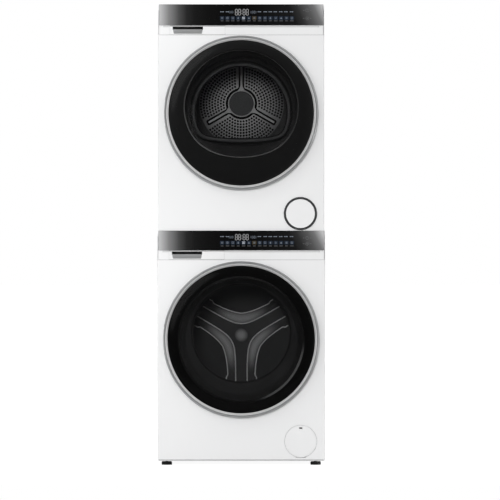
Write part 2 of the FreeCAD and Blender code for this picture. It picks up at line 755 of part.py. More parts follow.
def drawer_hole(machine):
    """The hole in the strip that the drawer's or tank's front fills."""
    return block(
        f"{machine.name}_drawer_hole",
        (machine.drawer_left - d.drawer_gap, machine.drawer_right + d.drawer_gap),
        (behind(-d.fascia_wall), behind(d.fascia_depth + d.fascia_wall)),
        (machine.strip_low - d.drawer_gap, machine.panel_low),
    )


def fascia(machine):
    """White plastic carrier: the strip, and the frame behind the control panel."""
    name = f"{machine.name}_fascia"
    half = machine.half - d.fascia_inset
    wall = d.fascia_wall
    low = machine.strip_low
    outside = block(
        f"{name}_outside", (-half, half), (front, behind(d.fascia_depth)), (low, machine.top)
    )
    inside = block(
        f"{name}_inside",
        (wall - half, half - wall),
        (behind(d.panel_seat + wall), behind(d.fascia_depth) + wall),
        (low + wall, machine.top - wall),
    )
    seat = block(
        f"{name}_panel_seat",
        (-half - wall, half + wall),
        (behind(-wall), behind(d.panel_seat)),
        (machine.panel_low, machine.top + wall),
    )
    node(cut(name, outside, inside, seat, drawer_hole(machine)), name)


def control_panel(machine):
    """The black glass, with rounded upright edges."""
    half = machine.half - d.fascia_inset
    radius = d.panel_corner
    near, far = behind(-d.panel_stand), behind(d.panel_seat)
    points = [
        (-half, far),
        (-half, near + radius, radius),
        (radius - half, near),
        (half - radius, near, radius),
        (half, near + radius),
        (half, far),
    ]
    label = f"{machine.name}_control_panel"
    node(raised(label, points, machine.panel_low, machine.top), label)


def top_plate(machine):
    half = machine.half
    label = f"{machine.name}_top_plate"
    deep = (behind(d.fascia_depth + d.seam_gap), back)
    node(block(label, (-half, half), deep, (machine.lid_low, machine.top)), label)


def rear_plate(machine, holes):
    """The rear panel with a hole for each (x, z, radius)."""
    half = machine.half - d.sheet_wall - d.seam_gap
    name = f"{machine.name}_rear"
    plate = block(
        f"{name}_plate",
        (-half, half),
        (back - d.sheet_wall, back),
        (machine.low, machine.lid_low - d.seam_gap),
    )
    start = back - d.sheet_wall * 2
    tools = [
        rod(f"{name}_hole_{index}", "y", radius, (x, start, z), d.sheet_wall * 3)
        for index, (x, z, radius) in enumerate(holes)
    ]
    return cut(f"{name}_cut", plate, *tools)


def spigot(label, x, z, radius, bore, flange):
    """A hose spigot through the rear panel, with a flange inside."""
    reach = back + d.spigot_reach
    root_y = back - d.sheet_wall - d.spigot_root
    points = [
        (bore, root_y),
        (flange, root_y),
        (flange, back - d.sheet_wall),
        (radius, back - d.sheet_wall),
        (radius, reach),
        (bore, reach),
    ]
    return turned(label, points, x, z)


def gland(machine):
    """A mains gland: a collar inside and a sleeve through the rear panel."""
    points = [
        (d.gland_bore, back - d.sheet_wall * 4),
        (d.gland_collar, back - d.sheet_wall * 4),
        (d.gland_collar, back - d.sheet_wall),
        (d.gland_radius, back - d.sheet_wall),
        (d.gland_radius, back + d.gland_reach),
        (d.gland_bore, back + d.gland_reach),
    ]
    return turned(f"{machine.name}_gland", points, machine.gland_x, machine.gland_z)


# ---------------------------------------------------------------------------------------------------
# doors


def door_ring(machine):
    """The bevelled ring, with a pocket for the hinge and a finger grip at the other side."""
    name = f"{machine.name}_door_ring"
    outer = machine.door_radius
    glass = outer - d.ring_bright_band
    near = behind(-d.ring_front)
    rear = behind(-d.door_gap)
    seat = near + d.ring_inner_drop + d.glass_wall
    points = [
        (outer - d.ring_back_bevel, rear),
        (outer, rear - d.ring_back_drop),
        (outer, near + d.ring_outer_drop),
        (outer - d.ring_outer_bevel, near),
        (glass + d.ring_inner_bevel, near),
        (glass, near + d.ring_inner_drop),
        (glass, seat),
        (outer - d.ring_band, seat),
        (outer - d.ring_band, rear),
    ]
    blank = turned(f"{name}_blank", points, 0, machine.door_z)
    pocket_half = d.hinge_plate_half_height + d.hinge_pocket_gap
    pocket = block(
        f"{name}_hinge_pocket",
        (-outer - d.hinge_pocket_gap, hinge_x(machine) + d.hinge_plate_width + d.hinge_pocket_gap),
        (behind(-d.pin_stand) - d.leaf_wall, rear + d.door_gap),
        (machine.door_z - pocket_half, machine.door_z + pocket_half),
    )
    grip = block(
        f"{name}_grip",
        (outer - d.grip_width, outer + d.door_gap),
        (rear - d.grip_depth, rear + d.door_gap),
        (machine.door_z - d.grip_half_height, machine.door_z + d.grip_half_height),
    )
    node(cut(name, blank, pocket, grip), name)


def door_glass(machine):
    """The domed outer glass."""
    name = f"{machine.name}_door_glass"
    rim = machine.door_radius - d.ring_bright_band - d.glass_gap
    edge = behind(-d.ring_front) + d.ring_inner_drop
    bend = (rim * rim + d.glass_crown * d.glass_crown) / (2 * d.glass_crown)
    points = [
        (0, edge - d.glass_crown, bend),
        (rim, edge),
        (rim, edge + d.glass_wall, -bend),
        (0, edge + d.glass_wall - d.glass_crown),
    ]
    node(turned(name, points, 0, machine.door_z), name)


def door_bowl(machine):
    """The inner bowl: a flange in the ring and a stepped cone that closes the opening."""
    name = f"{machine.name}_door_bowl"
    rim, neck, end = machine.bowl
    neck_y, end_y = behind(machine.bowl_depths[0]), behind(machine.bowl_depths[1])
    wall = d.bowl_wall
    seat = behind(-d.bowl_seat)
    flange = machine.door_radius - d.ring_band
    points = [
        (flange, seat),
        (flange, seat + wall),
        (rim, seat + wall),
        (neck, neck_y),
        (end, end_y),
        (0, end_y),
        (0, end_y - wall),
        (end - wall, end_y - wall),
        (neck - wall, neck_y - wall),
        (rim - wall, seat),
    ]
    node(turned(name, points, 0, machine.door_z), name)


def hinge_x(machine):
    return d.pin_edge_gap - machine.door_radius


def door_hinge(machine):
    """The leaf with its barrel and pin, and the latch hook at the other side of the door."""
    name = f"{machine.name}_door_hinge"
    x, y, z = hinge_x(machine), behind(-d.pin_stand), machine.door_z
    half = d.leaf_half_height
    pin_half = half + d.ear_gap + d.ear_height
    barrel = rod(f"{name}_barrel", "z", d.barrel_radius, (x, y, z - half), half * 2)
    pin = rod(f"{name}_pin", "z", d.pin_radius, (x, y, z - pin_half), pin_half * 2)
    leaf = block(f"{name}_leaf", (x, x + d.leaf_reach), (y - d.leaf_wall, y), (z - half, z + half))
    hook_y = behind(d.bowl_wall - d.bowl_seat)
    tip = behind(d.hook_depth)
    low, high = z - d.hook_half_height, z + d.hook_half_height
    x = machine.hook_x
    shank = block(f"{name}_hook_shank", (x, x + d.hook_wall), (hook_y, tip), (low, high))
    nose = block(
        f"{name}_hook_nose",
        (x, x + d.hook_wall + d.hook_nose),
        (tip - d.hook_wall / 2, tip),
        (low, high),
    )
    node(fuse(f"{name}_and_hook", barrel, pin, leaf, shank, nose), f"{name}_and_hook")


def hinge_plate(machine):
    """The plate on the front panel with the two ears that carry the hinge pin."""
    name = f"{machine.name}_hinge_plate"
    x, y, z = hinge_x(machine), behind(-d.pin_stand), machine.door_z
    half = d.hinge_plate_half_height
    plate = block(
        f"{name}_plate",
        (x - d.ear_wall / 2, x + d.hinge_plate_width),
        (behind(-d.hinge_plate_wall), front),
        (z - half, z + half),
    )
    ears = []
    bores = []
    for side, low in (
        ("lower", z - d.leaf_half_height - d.ear_gap - d.ear_height),
        ("upper", z + d.leaf_half_height + d.ear_gap),
    ):
        web = (x - d.ear_wall / 2, x + d.ear_wall / 2)
        ears.append(block(f"{name}_{side}_ear", web, (y, front), (low, low + d.ear_height)))
        ears.append(rod(f"{name}_{side}_barrel", "z", d.barrel_radius, (x, y, low), d.ear_height))
        bore = d.pin_radius + d.running_gap
        bores.append(
            rod(f"{name}_{side}_bore", "z", bore, (x, y, low - d.ear_gap), d.ear_height + d.ear_gap * 2)
        )
    return cut(name, fuse(f"{name}_solid", plate, *ears), *bores)


def door_lock(machine):
    """The lock behind the front panel, with the slot that the hook enters."""
    name = f"{machine.name}_door_lock"
    left, right = hook_slot_sides(machine)
    half = d.hook_half_height + d.lock_margin
    rear = behind(d.lock_depth)
    near = behind(d.front_wall + d.seam_gap)
    body = block(
        f"{name}_body",
        (left - d.lock_wall, right + d.lock_wall),
        (near, rear),
        (machine.door_z - d.lock_half_height, machine.door_z + d.lock_half_height),
    )
    slot = block(
        f"{name}_slot",
        (left, right),
        (near - d.seam_gap, rear - d.lock_wall),
        (machine.door_z - half, machine.door_z + half),
    )
    return cut(name, body, slot)


def door(machine):
    door_ring(machine)
    door_glass(machine)
    door_bowl(machine)
    door_hinge(machine)


# ---------------------------------------------------------------------------------------------------
# drawer and tank fronts, and round flaps


def drawer_front(machine, name):
    """The block in the strip, with a finger slot that opens into a hollow behind a lip."""
    left, right = machine.drawer_left, machine.drawer_right
    low = machine.strip_low + d.drawer_gap
    high = machine.panel_low - d.drawer_gap
    body = block(f"{name}_front", (left, right), (front, behind(d.drawer_front_depth)), (low, high))
    slot_x = (left + d.grip_slot_inset, left + d.grip_slot_inset + d.grip_slot_width)
    slot_high = machine.panel_low - d.grip_slot_top
    slot_low = slot_high - d.grip_slot_height
    deep = behind(d.grip_slot_depth)
    slot = block(f"{name}_slot", slot_x, (behind(-d.grip_lip_wall), deep), (slot_low, slot_high))
    hollow = block(
        f"{name}_hollow", slot_x, (behind(d.grip_lip_wall), deep), (slot_low - d.grip_hollow_drop, slot_high)
    )
    return cut(f"{name}_grip", body, slot, hollow)


def detergent_drawer():
    """The drawer's front with its three-part tray."""
    name = "detergent_drawer"
    wall = d.drawer_wall
    left = washer.drawer_left + d.drawer_tray_inset
    right = washer.drawer_right - d.drawer_tray_inset
    near, far = behind(d.drawer_front_depth), behind(d.drawer_length)
    low = washer.strip_low + d.drawer_floor_rise
    high = low + d.drawer_tray_height
    tray = block(f"{name}_tray_outside", (left, right), (near, far), (low, high))
    inner = (right - left - wall * 4) / 3
    wells = []
    for index in range(3):
        start = left + wall + (inner + wall) * index
        across = (start, start + inner)
        well = block(f"{name}_well_{index}", across, (near + wall, far - wall), (low + wall, high + wall))
        wells.append(well)
    hollow_tray = cut(f"{name}_tray", tray, *wells)
    node(fuse(name, drawer_front(washer, name), hollow_tray), name)


def dispenser():
    """The housing that the drawer slides in, open at the front."""
    name = "washer_dispenser"
    gap, wall = d.housing_gap, d.housing_wall
    left = washer.drawer_left + d.drawer_tray_inset - gap
    right = washer.drawer_right - d.drawer_tray_inset + gap
    low = washer.strip_low + d.drawer_floor_rise - gap
    high = low + d.drawer_tray_height + gap * 2
    near, far = behind(d.drawer_front_depth + gap), behind(d.housing_length)
    outside = block(f"{name}_outside", (left - wall, right + wall), (near, far), (low - wall, high + wall))
    inside = block(f"{name}_inside", (left, right), (near - gap, far - wall), (low, high))
    node(cut(name, outside, inside), name)


def water_tank():
    """The condensate tank with its front, and a pouring hole in its top."""
    name = "water_tank"
    wall = d.tank_wall
    low = dryer.strip_low + d.drawer_floor_rise
    high = low + d.tank_height
    left = dryer.drawer_left + d.drawer_tray_inset
    right = -leg(dryer_drum_radius, low - dryer.axis) - d.tank_drum_gap
    near, far = behind(d.drawer_front_depth), ahead(d.tank_rear_gap)
    outside = block(f"{name}_outside", (left, right), (near, far), (low, high))
    inside = block(
        f"{name}_inside", (left + wall, right - wall), (near + wall, far - wall), (low + wall, high - wall)
    )
    spout_at = ((left + right) / 2, near + d.tank_spout_inset, high - wall * 2)
    spout = rod(f"{name}_spout", "z", d.tank_spout_radius, spout_at, wall * 3)
    body = cut(f"{name}_body", outside, inside, spout)
    node(fuse(name, drawer_front(dryer, name), body), name)


def flap_pin_half_length(radius):
    return leg(radius, radius - d.flap_pin_offset)


def hinge_notch(name, x, z, radius, gap, near, far):
    """Room under a round cover for the edge that dips as it swings out."""
    half = flap_pin_half_length(radius) + d.flap_notch_reach
    low = z - radius - gap
    return block(name, (x - half, x + half), (near, far), (low, low + gap + d.flap_pin_offset * 2))


def round_cover(name, x, z, radius, face, slot_rise=None):
    """A round cover with a hinge pin along X at the front of its lower edge."""
    disc = rod(f"{name}_disc", "y", radius, (x, face, z), d.flap_wall)
    pin_z = z - radius + d.flap_pin_offset
    half = flap_pin_half_length(radius)
    pin = rod(f"{name}_pin", "x", d.flap_pin_radius, (x - half, face + d.flap_pin_offset, pin_z), half * 2)
    if slot_rise is None:
        node(fuse(name, disc, pin), name)
        return
    slot = block(
        f"{name}_slot",
        (x - d.flap_slot_width / 2, x + d.flap_slot_width / 2),
        (face - d.flap_wall, face + d.flap_wall * 2),
        (z + slot_rise - d.flap_slot_height / 2, z + slot_rise + d.flap_slot_height / 2),
    )
    node(cut(name, fuse(f"{name}_solid", disc, pin), slot), name)


# ---------------------------------------------------------------------------------------------------
# washer only


def washer_pan():
    """The washer's base pan with a bored boss over each foot."""
    floor = washer.pan_low + d.pan_wall
    bosses = []
    bores = []
    for name, x, y in foot_places():
        boss = rod(f"pan_boss_{name}", "z", d.boss_radius, (x, y, floor), d.boss_height)
        bore = rod(
            f"pan_bore_{name}",
            "z",
            d.stud_radius + d.running_gap,
            (x, y, washer.pan_low - d.pan_wall),
            d.boss_height + d.pan_wall * 3,
        )
        bosses.append(boss)
        bores.append(bore)
    solid = fuse("washer_pan_solid", base_pan(washer), *bosses)
    node(cut("washer_base_pan", solid, *bores), "washer_base_pan")


def foot_places():
    """The name and place of each foot."""
    side = washer.half - d.foot_side_inset
    rows = (("front", behind(d.foot_front_inset)), ("rear", back - d.foot_front_inset))
    return [
        (f"{row}_{hand}", x, y)
        for row, y in rows
        for hand, x in (("left", -side), ("right", side))
    ]


def feet():
    for name, x, y in foot_places():
        label = f"washer_foot_{name}"
        shoulder = d.foot_pad_height - d.foot_chamfer
        pad = rod(f"{label}_pad", "z", d.foot_radius, (x, y, 0), shoulder)
        crown = d.foot_radius - d.foot_chamfer
        top = cone(f"{label}_top", "z", d.foot_radius, crown, (x, y, shoulder), d.foot_chamfer)
        stud = rod(f"{label}_stud", "z", d.stud_radius, (x, y, 0), d.stud_height)
        node(fuse(label, pad, top, stud), label)


def tub():
    wall = d.tub_wall
    near, far = behind(d.tub_front), ahead(d.tub_rear_gap)
    points = [
        (tub_opening, near),
        (tub_radius, near),
        (tub_radius, far),
        (d.tub_hub_radius, far),
        (d.tub_hub_radius, far + d.tub_hub_length),
        (d.bearing_radius, far + d.tub_hub_length),
        (d.bearing_radius, far - d.tub_back_wall),
        (tub_radius - wall, far - d.tub_back_wall),
        (tub_radius - wall, near + wall),
        (tub_opening, near + wall),
    ]
    node(turned("washer_tub", points, 0, washer.axis), "washer_tub")


def gasket():
    """The rubber bellows from the front panel's opening to the tub."""
    wall = d.gasket_wall
    lip = washer.opening - d.gasket_reach
    lip_y = behind(d.gasket_lip_depth)
    rim = washer.opening - d.seam_gap
    neck = tub_opening - d.tub_wall
    near = behind(d.front_wall * 2)
    far = behind(d.tub_front)
    points = [
        (rim, near),
        (rim, near + wall),
        (lip + wall, lip_y + wall * 2 / 3),
        (neck + wall, lip_y + wall * 5 / 3),
        (neck + wall, far),
        (neck, far),
        (neck, lip_y + wall * 2),
        (lip, lip_y + wall),
        (lip, lip_y),
    ]
    node(turned("washer_gasket", points, 0, washer.door_z), "washer_gasket")


def counterweight():
    far = behind(d.tub_front)
    near = far - d.counterweight_thickness
    inner = washer.opening + washer.axis_rise + d.counterweight_gap
    outer = tub_radius - d.counterweight_inset
    points = [(inner, near), (outer, near), (outer, far), (inner, far)]
    node(turned("washer_counterweight", points, 0, washer.axis), "washer_counterweight")


def bearings():
    near = ahead(d.tub_rear_gap)
    ends = (near, near + d.tub_hub_length - d.bearing_width)
    rings = []
    for index, near in enumerate(ends):
        inner = d.shaft_radius + d.running_gap
        far = near + d.bearing_width
        points = [(inner, near), (d.bearing_radius, near), (d.bearing_radius, far), (inner, far)]
        rings.append(turned(f"washer_bearing_{index}", points, 0, washer.axis))
    node(fuse("washer_bearings", *rings), "washer_bearings")


def stator():
    near = ahead(d.tub_rear_gap)
    far = near + d.stator_length
    points = [(d.stator_bore, near), (d.stator_radius, near), (d.stator_radius, far), (d.stator_bore, far)]
    node(turned("washer_motor_stator", points, 0, washer.axis), "washer_motor_stator")


def suspension():
    """Two springs that hang the tub from the top, and two dampers under it."""
    parts = []
    for hand, sign in (("left", -1), ("right", 1)):
        x = sign * d.spring_side
        low = washer.axis + leg(tub_radius, d.spring_side - d.spring_radius) + d.tub_contact_gap
        high = washer.lid_low - d.tub_contact_gap
        at = (x, behind(d.spring_depth), low)
        outside = rod(f"spring_{hand}_outside", "z", d.spring_radius, at, high - low)
        inside = rod(f"spring_{hand}_inside", "z", d.spring_bore, at, high - low)
        parts.append(cut(f"spring_{hand}", outside, inside))
        x = sign * d.damper_side
        y = behind(d.damper_depth)
        low = washer.pan_low + d.pan_wall
        tube = rod(f"damper_{hand}_tube", "z", d.damper_radius, (x, y, low), d.damper_tube_length)
        high = washer.axis - leg(tub_radius, d.damper_side - d.damper_rod_radius) - d.tub_contact_gap
        stem = rod(f"damper_{hand}_rod", "z", d.damper_rod_radius, (x, y, low), high - low)
        parts.append(fuse(f"damper_{hand}", tube, stem))
    node(fuse("washer_suspension", *parts), "washer_suspension")


def flap_place():
    return washer.half - d.flap_side, washer.low + d.flap_height


def flap_hole(x, z):
    near = behind(-d.front_wall)
    far = behind(d.front_wall * 2)
    hole = rod("flap_hole_round", "y", d.flap_radius + d.flap_gap, (x, near, z), far - near)
    notch = hinge_notch("flap_hole_notch", x, z, d.flap_radius, d.flap_gap, near, far)
    return fuse("flap_hole", hole, notch)


def pump():
    """The drain pump: a filter housing with a collar, and the motor behind it."""
    bore = d.pump_bore
    outer = bore + d.pump_wall
    near, far = behind(d.pump_front), behind(d.pump_back)
    motor = d.pump_motor_radius
    points = [
        (bore, near),
        (d.pump_collar, near),
        (d.pump_collar, near + d.pump_wall),
        (outer, near + d.pump_wall),
        (outer, far),
        (motor, far),
        (motor, behind(d.pump_motor_back)),
        (0, behind(d.pump_motor_back)),
        (0, far - d.pump_wall),
        (bore, far - d.pump_wall),
    ]
    node(turned("drain_pump", points, *flap_place()), "drain_pump")


def filter_cap():
    x, z = flap_place()
    radius = d.pump_bore - d.cap_gap
    near, far = behind(d.cap_front), behind(d.cap_back)
    plug = rod("filter_cap_plug", "y", radius, (x, near, z), far - near)
    half_width, half_length = d.cap_bar_width / 2, d.cap_bar_length / 2
    bar = block(
        "filter_cap_bar",
        (x - half_width, x + half_width),
        (behind(d.cap_bar_front), near),
        (z - half_length, z + half_length),
    )
    node(fuse("filter_cap", plug, bar), "filter_cap")


def inlet_valve():
    x, z = inlet_place
    stub = spigot("inlet_stub", x, z, d.inlet_radius, d.inlet_bore, d.inlet_radius + d.rear_hole_gap * 2)
    far = back - d.sheet_wall * 4
    body = block(
        "inlet_body",
        (x - d.valve_half_width, x + d.valve_half_width),
        (back - d.sheet_wall - d.spigot_root, far),
        (z - d.valve_half_height, z + d.valve_half_height),
    )
    bore = rod("inlet_passage", "y", d.inlet_bore, (x, far - d.spigot_root / 2, z), d.spigot_root)
    node(cut("washer_inlet_valve", fuse("inlet_solid", stub, body), bore), "washer_inlet_valve")


def washer_drum():
    """The shell with its front, the back with its boss, the lifters, and the spider with the shaft."""
    radius, wall = drum_radius, d.drum_wall
    near, far = behind(d.drum_front), ahead(d.tub_rear_gap + d.drum_rear_gap)
    shell = [
        (drum_opening, near),
        (radius, near),
        (radius, far),
        (radius - wall, far),
        (radius - wall, near + wall),
        (drum_opening, near + wall),
    ]
    node(turned("washer_drum_shell", shell, 0, washer.axis), "washer_drum_shell")
    boss, slope = d.drum_boss_radius, d.drum_boss_radius + d.drum_boss_height * 1.5
    rise = d.drum_boss_height
    plate = [
        (0, far - rise),
        (boss, far - rise),
        (slope, far),
        (radius, far),
        (radius, far + wall),
        (0, far + wall),
    ]
    node(turned("washer_drum_back", plate, 0, washer.axis), "washer_drum_back")
    lifters(radius - wall, near + d.lifter_inset, far - d.lifter_inset)
    spider(far + wall)


def lifters(radius, near, far):
    """Three ribs inside the drum, each a trapezoid with an arc where it meets the shell."""
    foot, crest = d.lifter_foot / 2, d.lifter_crest / 2
    reach = leg(radius, foot)
    ribs = []
    for angle in (90, 210, 330):
        points = [
            (reach, -foot, radius),
            (reach, foot),
            (radius - d.lifter_height, crest),
            (radius - d.lifter_height, -crest),
        ]
        ribs.append(facing(f"washer_lifter_{angle}", points, near, far, (0, washer.axis), angle))
    node(fuse("washer_drum_lifters", *ribs), "washer_drum_lifters")


def spider(near):
    """Three cast arms on a hub, with the shaft that carries the drum and the rotor."""
    far = near + d.spider_thickness
    half = d.spider_arm_width / 2
    arms = []
    for angle in (90, 210, 330):
        end = drum_radius - d.spider_rim_gap
        points = [(0, -half), (end, -half), (end, half), (0, half)]
        arms.append(facing(f"spider_arm_{angle}", points, near, far, (0, washer.axis), angle))
    hub = rod("spider_hub", "y", d.spider_hub_radius, (0, near, washer.axis), d.spider_thickness)
    shaft = rod("spider_shaft", "y", d.shaft_radius, (0, near, washer.axis), ahead(d.shaft_rear_gap) - near)
    node(fuse("washer_drum_spider", hub, shaft, *arms), "washer_drum_spider")


def rotor():
    inner = d.stator_radius + d.rotor_gap
    outer = inner + d.rotor_wall
    near = ahead(d.tub_rear_gap) + d.rotor_front_gap
    far = ahead(d.rotor_rear_gap)
    points = [
        (inner, near),
        (outer, near),
        (outer, far),
        (d.shaft_radius, far),
        (d.shaft_radius, far - d.rotor_wall),
        (inner, far - d.rotor_wall),
    ]
    node(turned("washer_motor_rotor", points, 0, washer.axis), "washer_motor_rotor")


# ---------------------------------------------------------------------------------------------------
# dryer only


def loading_flat():
    return dryer.door_z - d.loading_drop


def filter_top():
    return loading_flat() - d.filter_top_drop


def filter_depths():
    """The filter's front and back faces: it stands just ahead of the bulkhead."""
    rear = behind(d.bulkhead_depth) - d.filter_gap
    return rear - d.filter_wall, rear


# hand and place across of the two rollers that the drum's front end turns on
ROLLERS = (("left", -d.roller_side), ("right", d.roller_side))


def roller_height():
    return dryer.axis - leg(dryer_drum_radius + d.roller_gap + d.roller_radius, d.roller_side)


def bulkhead():
    """The plate ahead of the drum, with the D-shaped opening, the filter's pocket and two axles."""
    name = "dryer_bulkhead"
    half = dryer.half - d.sheet_wall - d.pan_clearance
    near, far = behind(d.bulkhead_depth), behind(d.bulkhead_depth + d.bulkhead_wall)
    low = filter_top() - d.filter_height - d.filter_gap
    foot = roller_height() - d.axle_radius - d.bulkhead_margin
    high = dryer.strip_low - d.pan_clearance
    plate = block(f"{name}_plate", (-half, half), (near, far), (foot, high))
    disc = rod(
        f"{name}_opening_disc",
        "y",
        loading_radius,
        (0, near - d.bulkhead_wall, dryer.door_z + d.loading_rise),
        d.bulkhead_wall * 3,
    )
    above = block(
        f"{name}_opening_limit",
        (-loading_radius, loading_radius),
        (near - d.bulkhead_wall, far + d.bulkhead_wall),
        (loading_flat(), dryer.door_z + d.loading_rise + loading_radius),
    )
    opening = overlap(f"{name}_opening", disc, above)
    pocket_near = filter_depths()[0] - d.filter_gap
    reach = d.filter_half_width + d.filter_gap
    wall = d.filter_pocket_wall
    across = (-reach - wall, reach + wall)
    pocket = block(f"{name}_pocket", across, (pocket_near - wall, near), (low - wall, filter_top()))
    room = block(f"{name}_pocket_room", (-reach, reach), (pocket_near, near), (low, filter_top() + wall))
    tray = cut(f"{name}_filter_pocket", pocket, room)
    length = behind(d.roller_depth + d.roller_width) - far
    axles = [
        rod(f"{name}_axle_{hand}", "y", d.axle_radius, (x, far, roller_height()), length)
        for hand, x in ROLLERS
    ]
    node(fuse(name, cut(f"{name}_plate_open", plate, opening), tray, *axles), name)


def rollers():
    near = behind(d.roller_depth)
    far = near + d.roller_width
    bore = d.axle_radius + d.running_gap
    points = [(bore, near), (d.roller_radius, near), (d.roller_radius, far), (bore, far)]
    for hand, x in ROLLERS:
        node(turned(f"dryer_roller_{hand}", points, x, roller_height()), f"dryer_roller_{hand}")


def lint_filter():
    """A frame with ribs and a fine screen in the middle of its thickness."""
    name = "lint_filter"
    near, far = filter_depths()
    half, rib = d.filter_half_width, d.filter_rib
    low, high = filter_top() - d.filter_height, filter_top()
    frame = block(f"{name}_frame", (-half, half), (near, far), (low, high))
    window = (half * 2 - rib * 4) / 3
    middle = (near + far) / 2
    faces = ((near - rib, middle - d.filter_screen / 2), (middle + d.filter_screen / 2, far + rib))
    windows = []
    for index in range(3):
        left = rib - half + (window + rib) * index
        for side, deep in zip(("front", "back"), faces):
            windows.append(
                block(f"{name}_window_{index}_{side}", (left, left + window), deep, (low + rib, high - rib))
            )
    node(cut(name, frame, *windows), name)


def dryer_drum():
    radius, wall = dryer_drum_radius, d.drum_wall
    near, far = behind(d.dryer_drum_front), ahead(d.dryer_drum_rear_gap)
    shell = [
        (radius - d.dryer_drum_lip, near),
        (radius, near),
        (radius, far),
        (radius - wall, far),
        (radius - wall, near + wall),
        (radius - d.dryer_drum_lip, near + wall),
    ]
    node(turned("dryer_drum_shell", shell, 0, dryer.axis), "dryer_drum_shell")
    shaft = d.dryer_shaft_radius
    end = far + d.dryer_back_wall + d.dryer_shaft_length
    plate = [
        (0, far),
        (radius, far),
        (radius, far + d.dryer_back_wall),
        (shaft, far + d.dryer_back_wall),
        (shaft, end),
        (0, end),
    ]
    node(turned("dryer_drum_back", plate, 0, dryer.axis), "dryer_drum_back")


def dryer_rear():
    """The rear panel with the housing that carries the drum's shaft."""
    holes = [
        (dryer.gland_x, dryer.gland_z, d.gland_radius + d.rear_hole_gap),
        (*condensate_place, d.outlet_radius + d.rear_hole_gap),
    ]
    near = ahead(d.dryer_drum_rear_gap) + d.dryer_back_wall + d.rear_bearing_gap
    far = back - d.sheet_wall
    bore = d.dryer_shaft_radius + d.running_gap
    points = [(bore, near), (d.rear_bearing_radius, near), (d.rear_bearing_radius, far), (bore, far)]
    housing = turned("dryer_rear_bearing", points, 0, dryer.axis)
    node(fuse("dryer_rear_panel", rear_plate(dryer, holes), housing), "dryer_rear_panel")


def motor_axis():
    return dryer.pan_low + d.pan_wall + d.motor_foot_height + d.motor_radius


def dryer_motor():
    """The stator with its end walls and foot, and the rotor with its shaft and pulley."""
    far = ahead(d.motor_rear_gap)
    near = far - d.motor_length
    bore = d.motor_shaft_radius + d.running_gap
    cavity = d.motor_core_radius + d.motor_core_gap
    wall = d.motor_end_wall
    case = turned(
        "dryer_motor_case",
        [
            (bore, near),
            (d.motor_radius, near),
            (d.motor_radius, far),
            (bore, far),
            (bore, far - wall),
            (cavity, far - wall),
            (cavity, near + wall),
            (bore, near + wall),
        ],
        0,
        motor_axis(),
    )
    half = d.motor_foot_half_width
    foot_high = motor_axis() - (d.motor_radius + cavity) / 2
    foot = block("dryer_motor_foot", (-half, half), (near, far), (dryer.pan_low + d.pan_wall, foot_high))
    node(fuse("dryer_motor_stator", case, foot), "dryer_motor_stator")
    core_near, core_far = near + wall * 2, far - wall * 2
    pulley_near = ahead(d.belt_rear_gap)
    pulley_far = pulley_near + d.belt_width
    shaft, pulley = d.motor_shaft_radius, d.pulley_radius
    points = [
        (0, near - wall),
        (shaft, near - wall),
        (shaft, core_near),
        (d.motor_core_radius, core_near),
        (d.motor_core_radius, core_far),
        (shaft, core_far),
        (shaft, pulley_near),
        (pulley, pulley_near),
        (pulley, pulley_far),
        (0, pulley_far),
    ]
    node(turned("dryer_motor_rotor", points, 0, motor_axis()), "dryer_motor_rotor")


def belt_outline(offset):
    """The line round the drum and the pulley at an offset, drum's axis at the origin."""
    big, small = dryer_drum_radius + offset, d.pulley_radius + offset
    drop = dryer.axis - motor_axis()
    lean = (big - small) / drop
    across = leg(size(1), lean)
    big_x, big_z = big * across, -big * lean
    small_x, small_z = small * across, -drop - small * lean
    return [
        (big_x, big_z, big),
        (0, big, big),
        (-big_x, big_z),
        (-small_x, small_z, small),
        (0, -drop - small, small),
        (small_x, small_z),
    ]


def belt():
    near = ahead(d.belt_rear_gap)
    far = near + d.belt_width
    middle = (0, dryer.axis)
    outer = facing("belt_outer", belt_outline(d.belt_gap + d.belt_wall), near, far, middle)
    inner = facing("belt_inner", belt_outline(d.belt_gap), near - d.belt_gap, far + d.belt_gap, middle)
    node(cut("dryer_belt", outer, inner), "dryer_belt")


def heat_pump():
    """The compressor and the two heat exchangers, joined by the refrigerant's pipes."""
    floor = dryer.pan_low + d.pan_wall
    x = d.compressor_inset - dryer.half
    y = ahead(d.motor_rear_gap + d.motor_length + d.compressor_motor_gap)
    compressor = rod("heat_pump_compressor", "z", d.compressor_radius, (x, y, floor), d.compressor_height)
    right = dryer.half - d.exchanger_inset
    left = right - d.exchanger_width
    high = floor + d.exchanger_height
    near = behind(d.evaporator_front)
    parts = [compressor]
    pipe_ys = []
    for name in ("evaporator", "condenser"):
        far = near + d.exchanger_length
        parts.append(block(f"heat_pump_{name}", (left, right), (near, far), (floor, high)))
        pipe_ys.append((near + far) / 2)
        near = far + d.exchanger_gap
    radius = d.pipe_radius
    z = high - radius * 3
    first, second = pipe_ys
    pipes = (
        ("suction_pipe", "x", (x - radius, first, z), left - x + radius * 2),
        ("suction_bend", "y", (x, first - radius, z), y - first),
        ("pressure_pipe", "x", (x, second, z), left - x + radius),
        ("link_pipe", "y", ((left + right) / 2, first, z), second - first),
    )
    parts += [rod(f"heat_pump_{name}", axis, radius, start, length) for name, axis, start, length in pipes]
    node(fuse("dryer_heat_pump", *parts), "dryer_heat_pump")


def service_cover_place():
    return dryer.half - d.cover_side, dryer.low + d.cover_height


def cover_opening():
    return d.cover_radius + d.cover_gap


def service_cover_hole():
    x, z = service_cover_place()
    near = behind(-d.front_wall)
    return rod("service_hole", "y", cover_opening() + d.cover_ring_wall, (x, near, z), d.front_wall * 3)


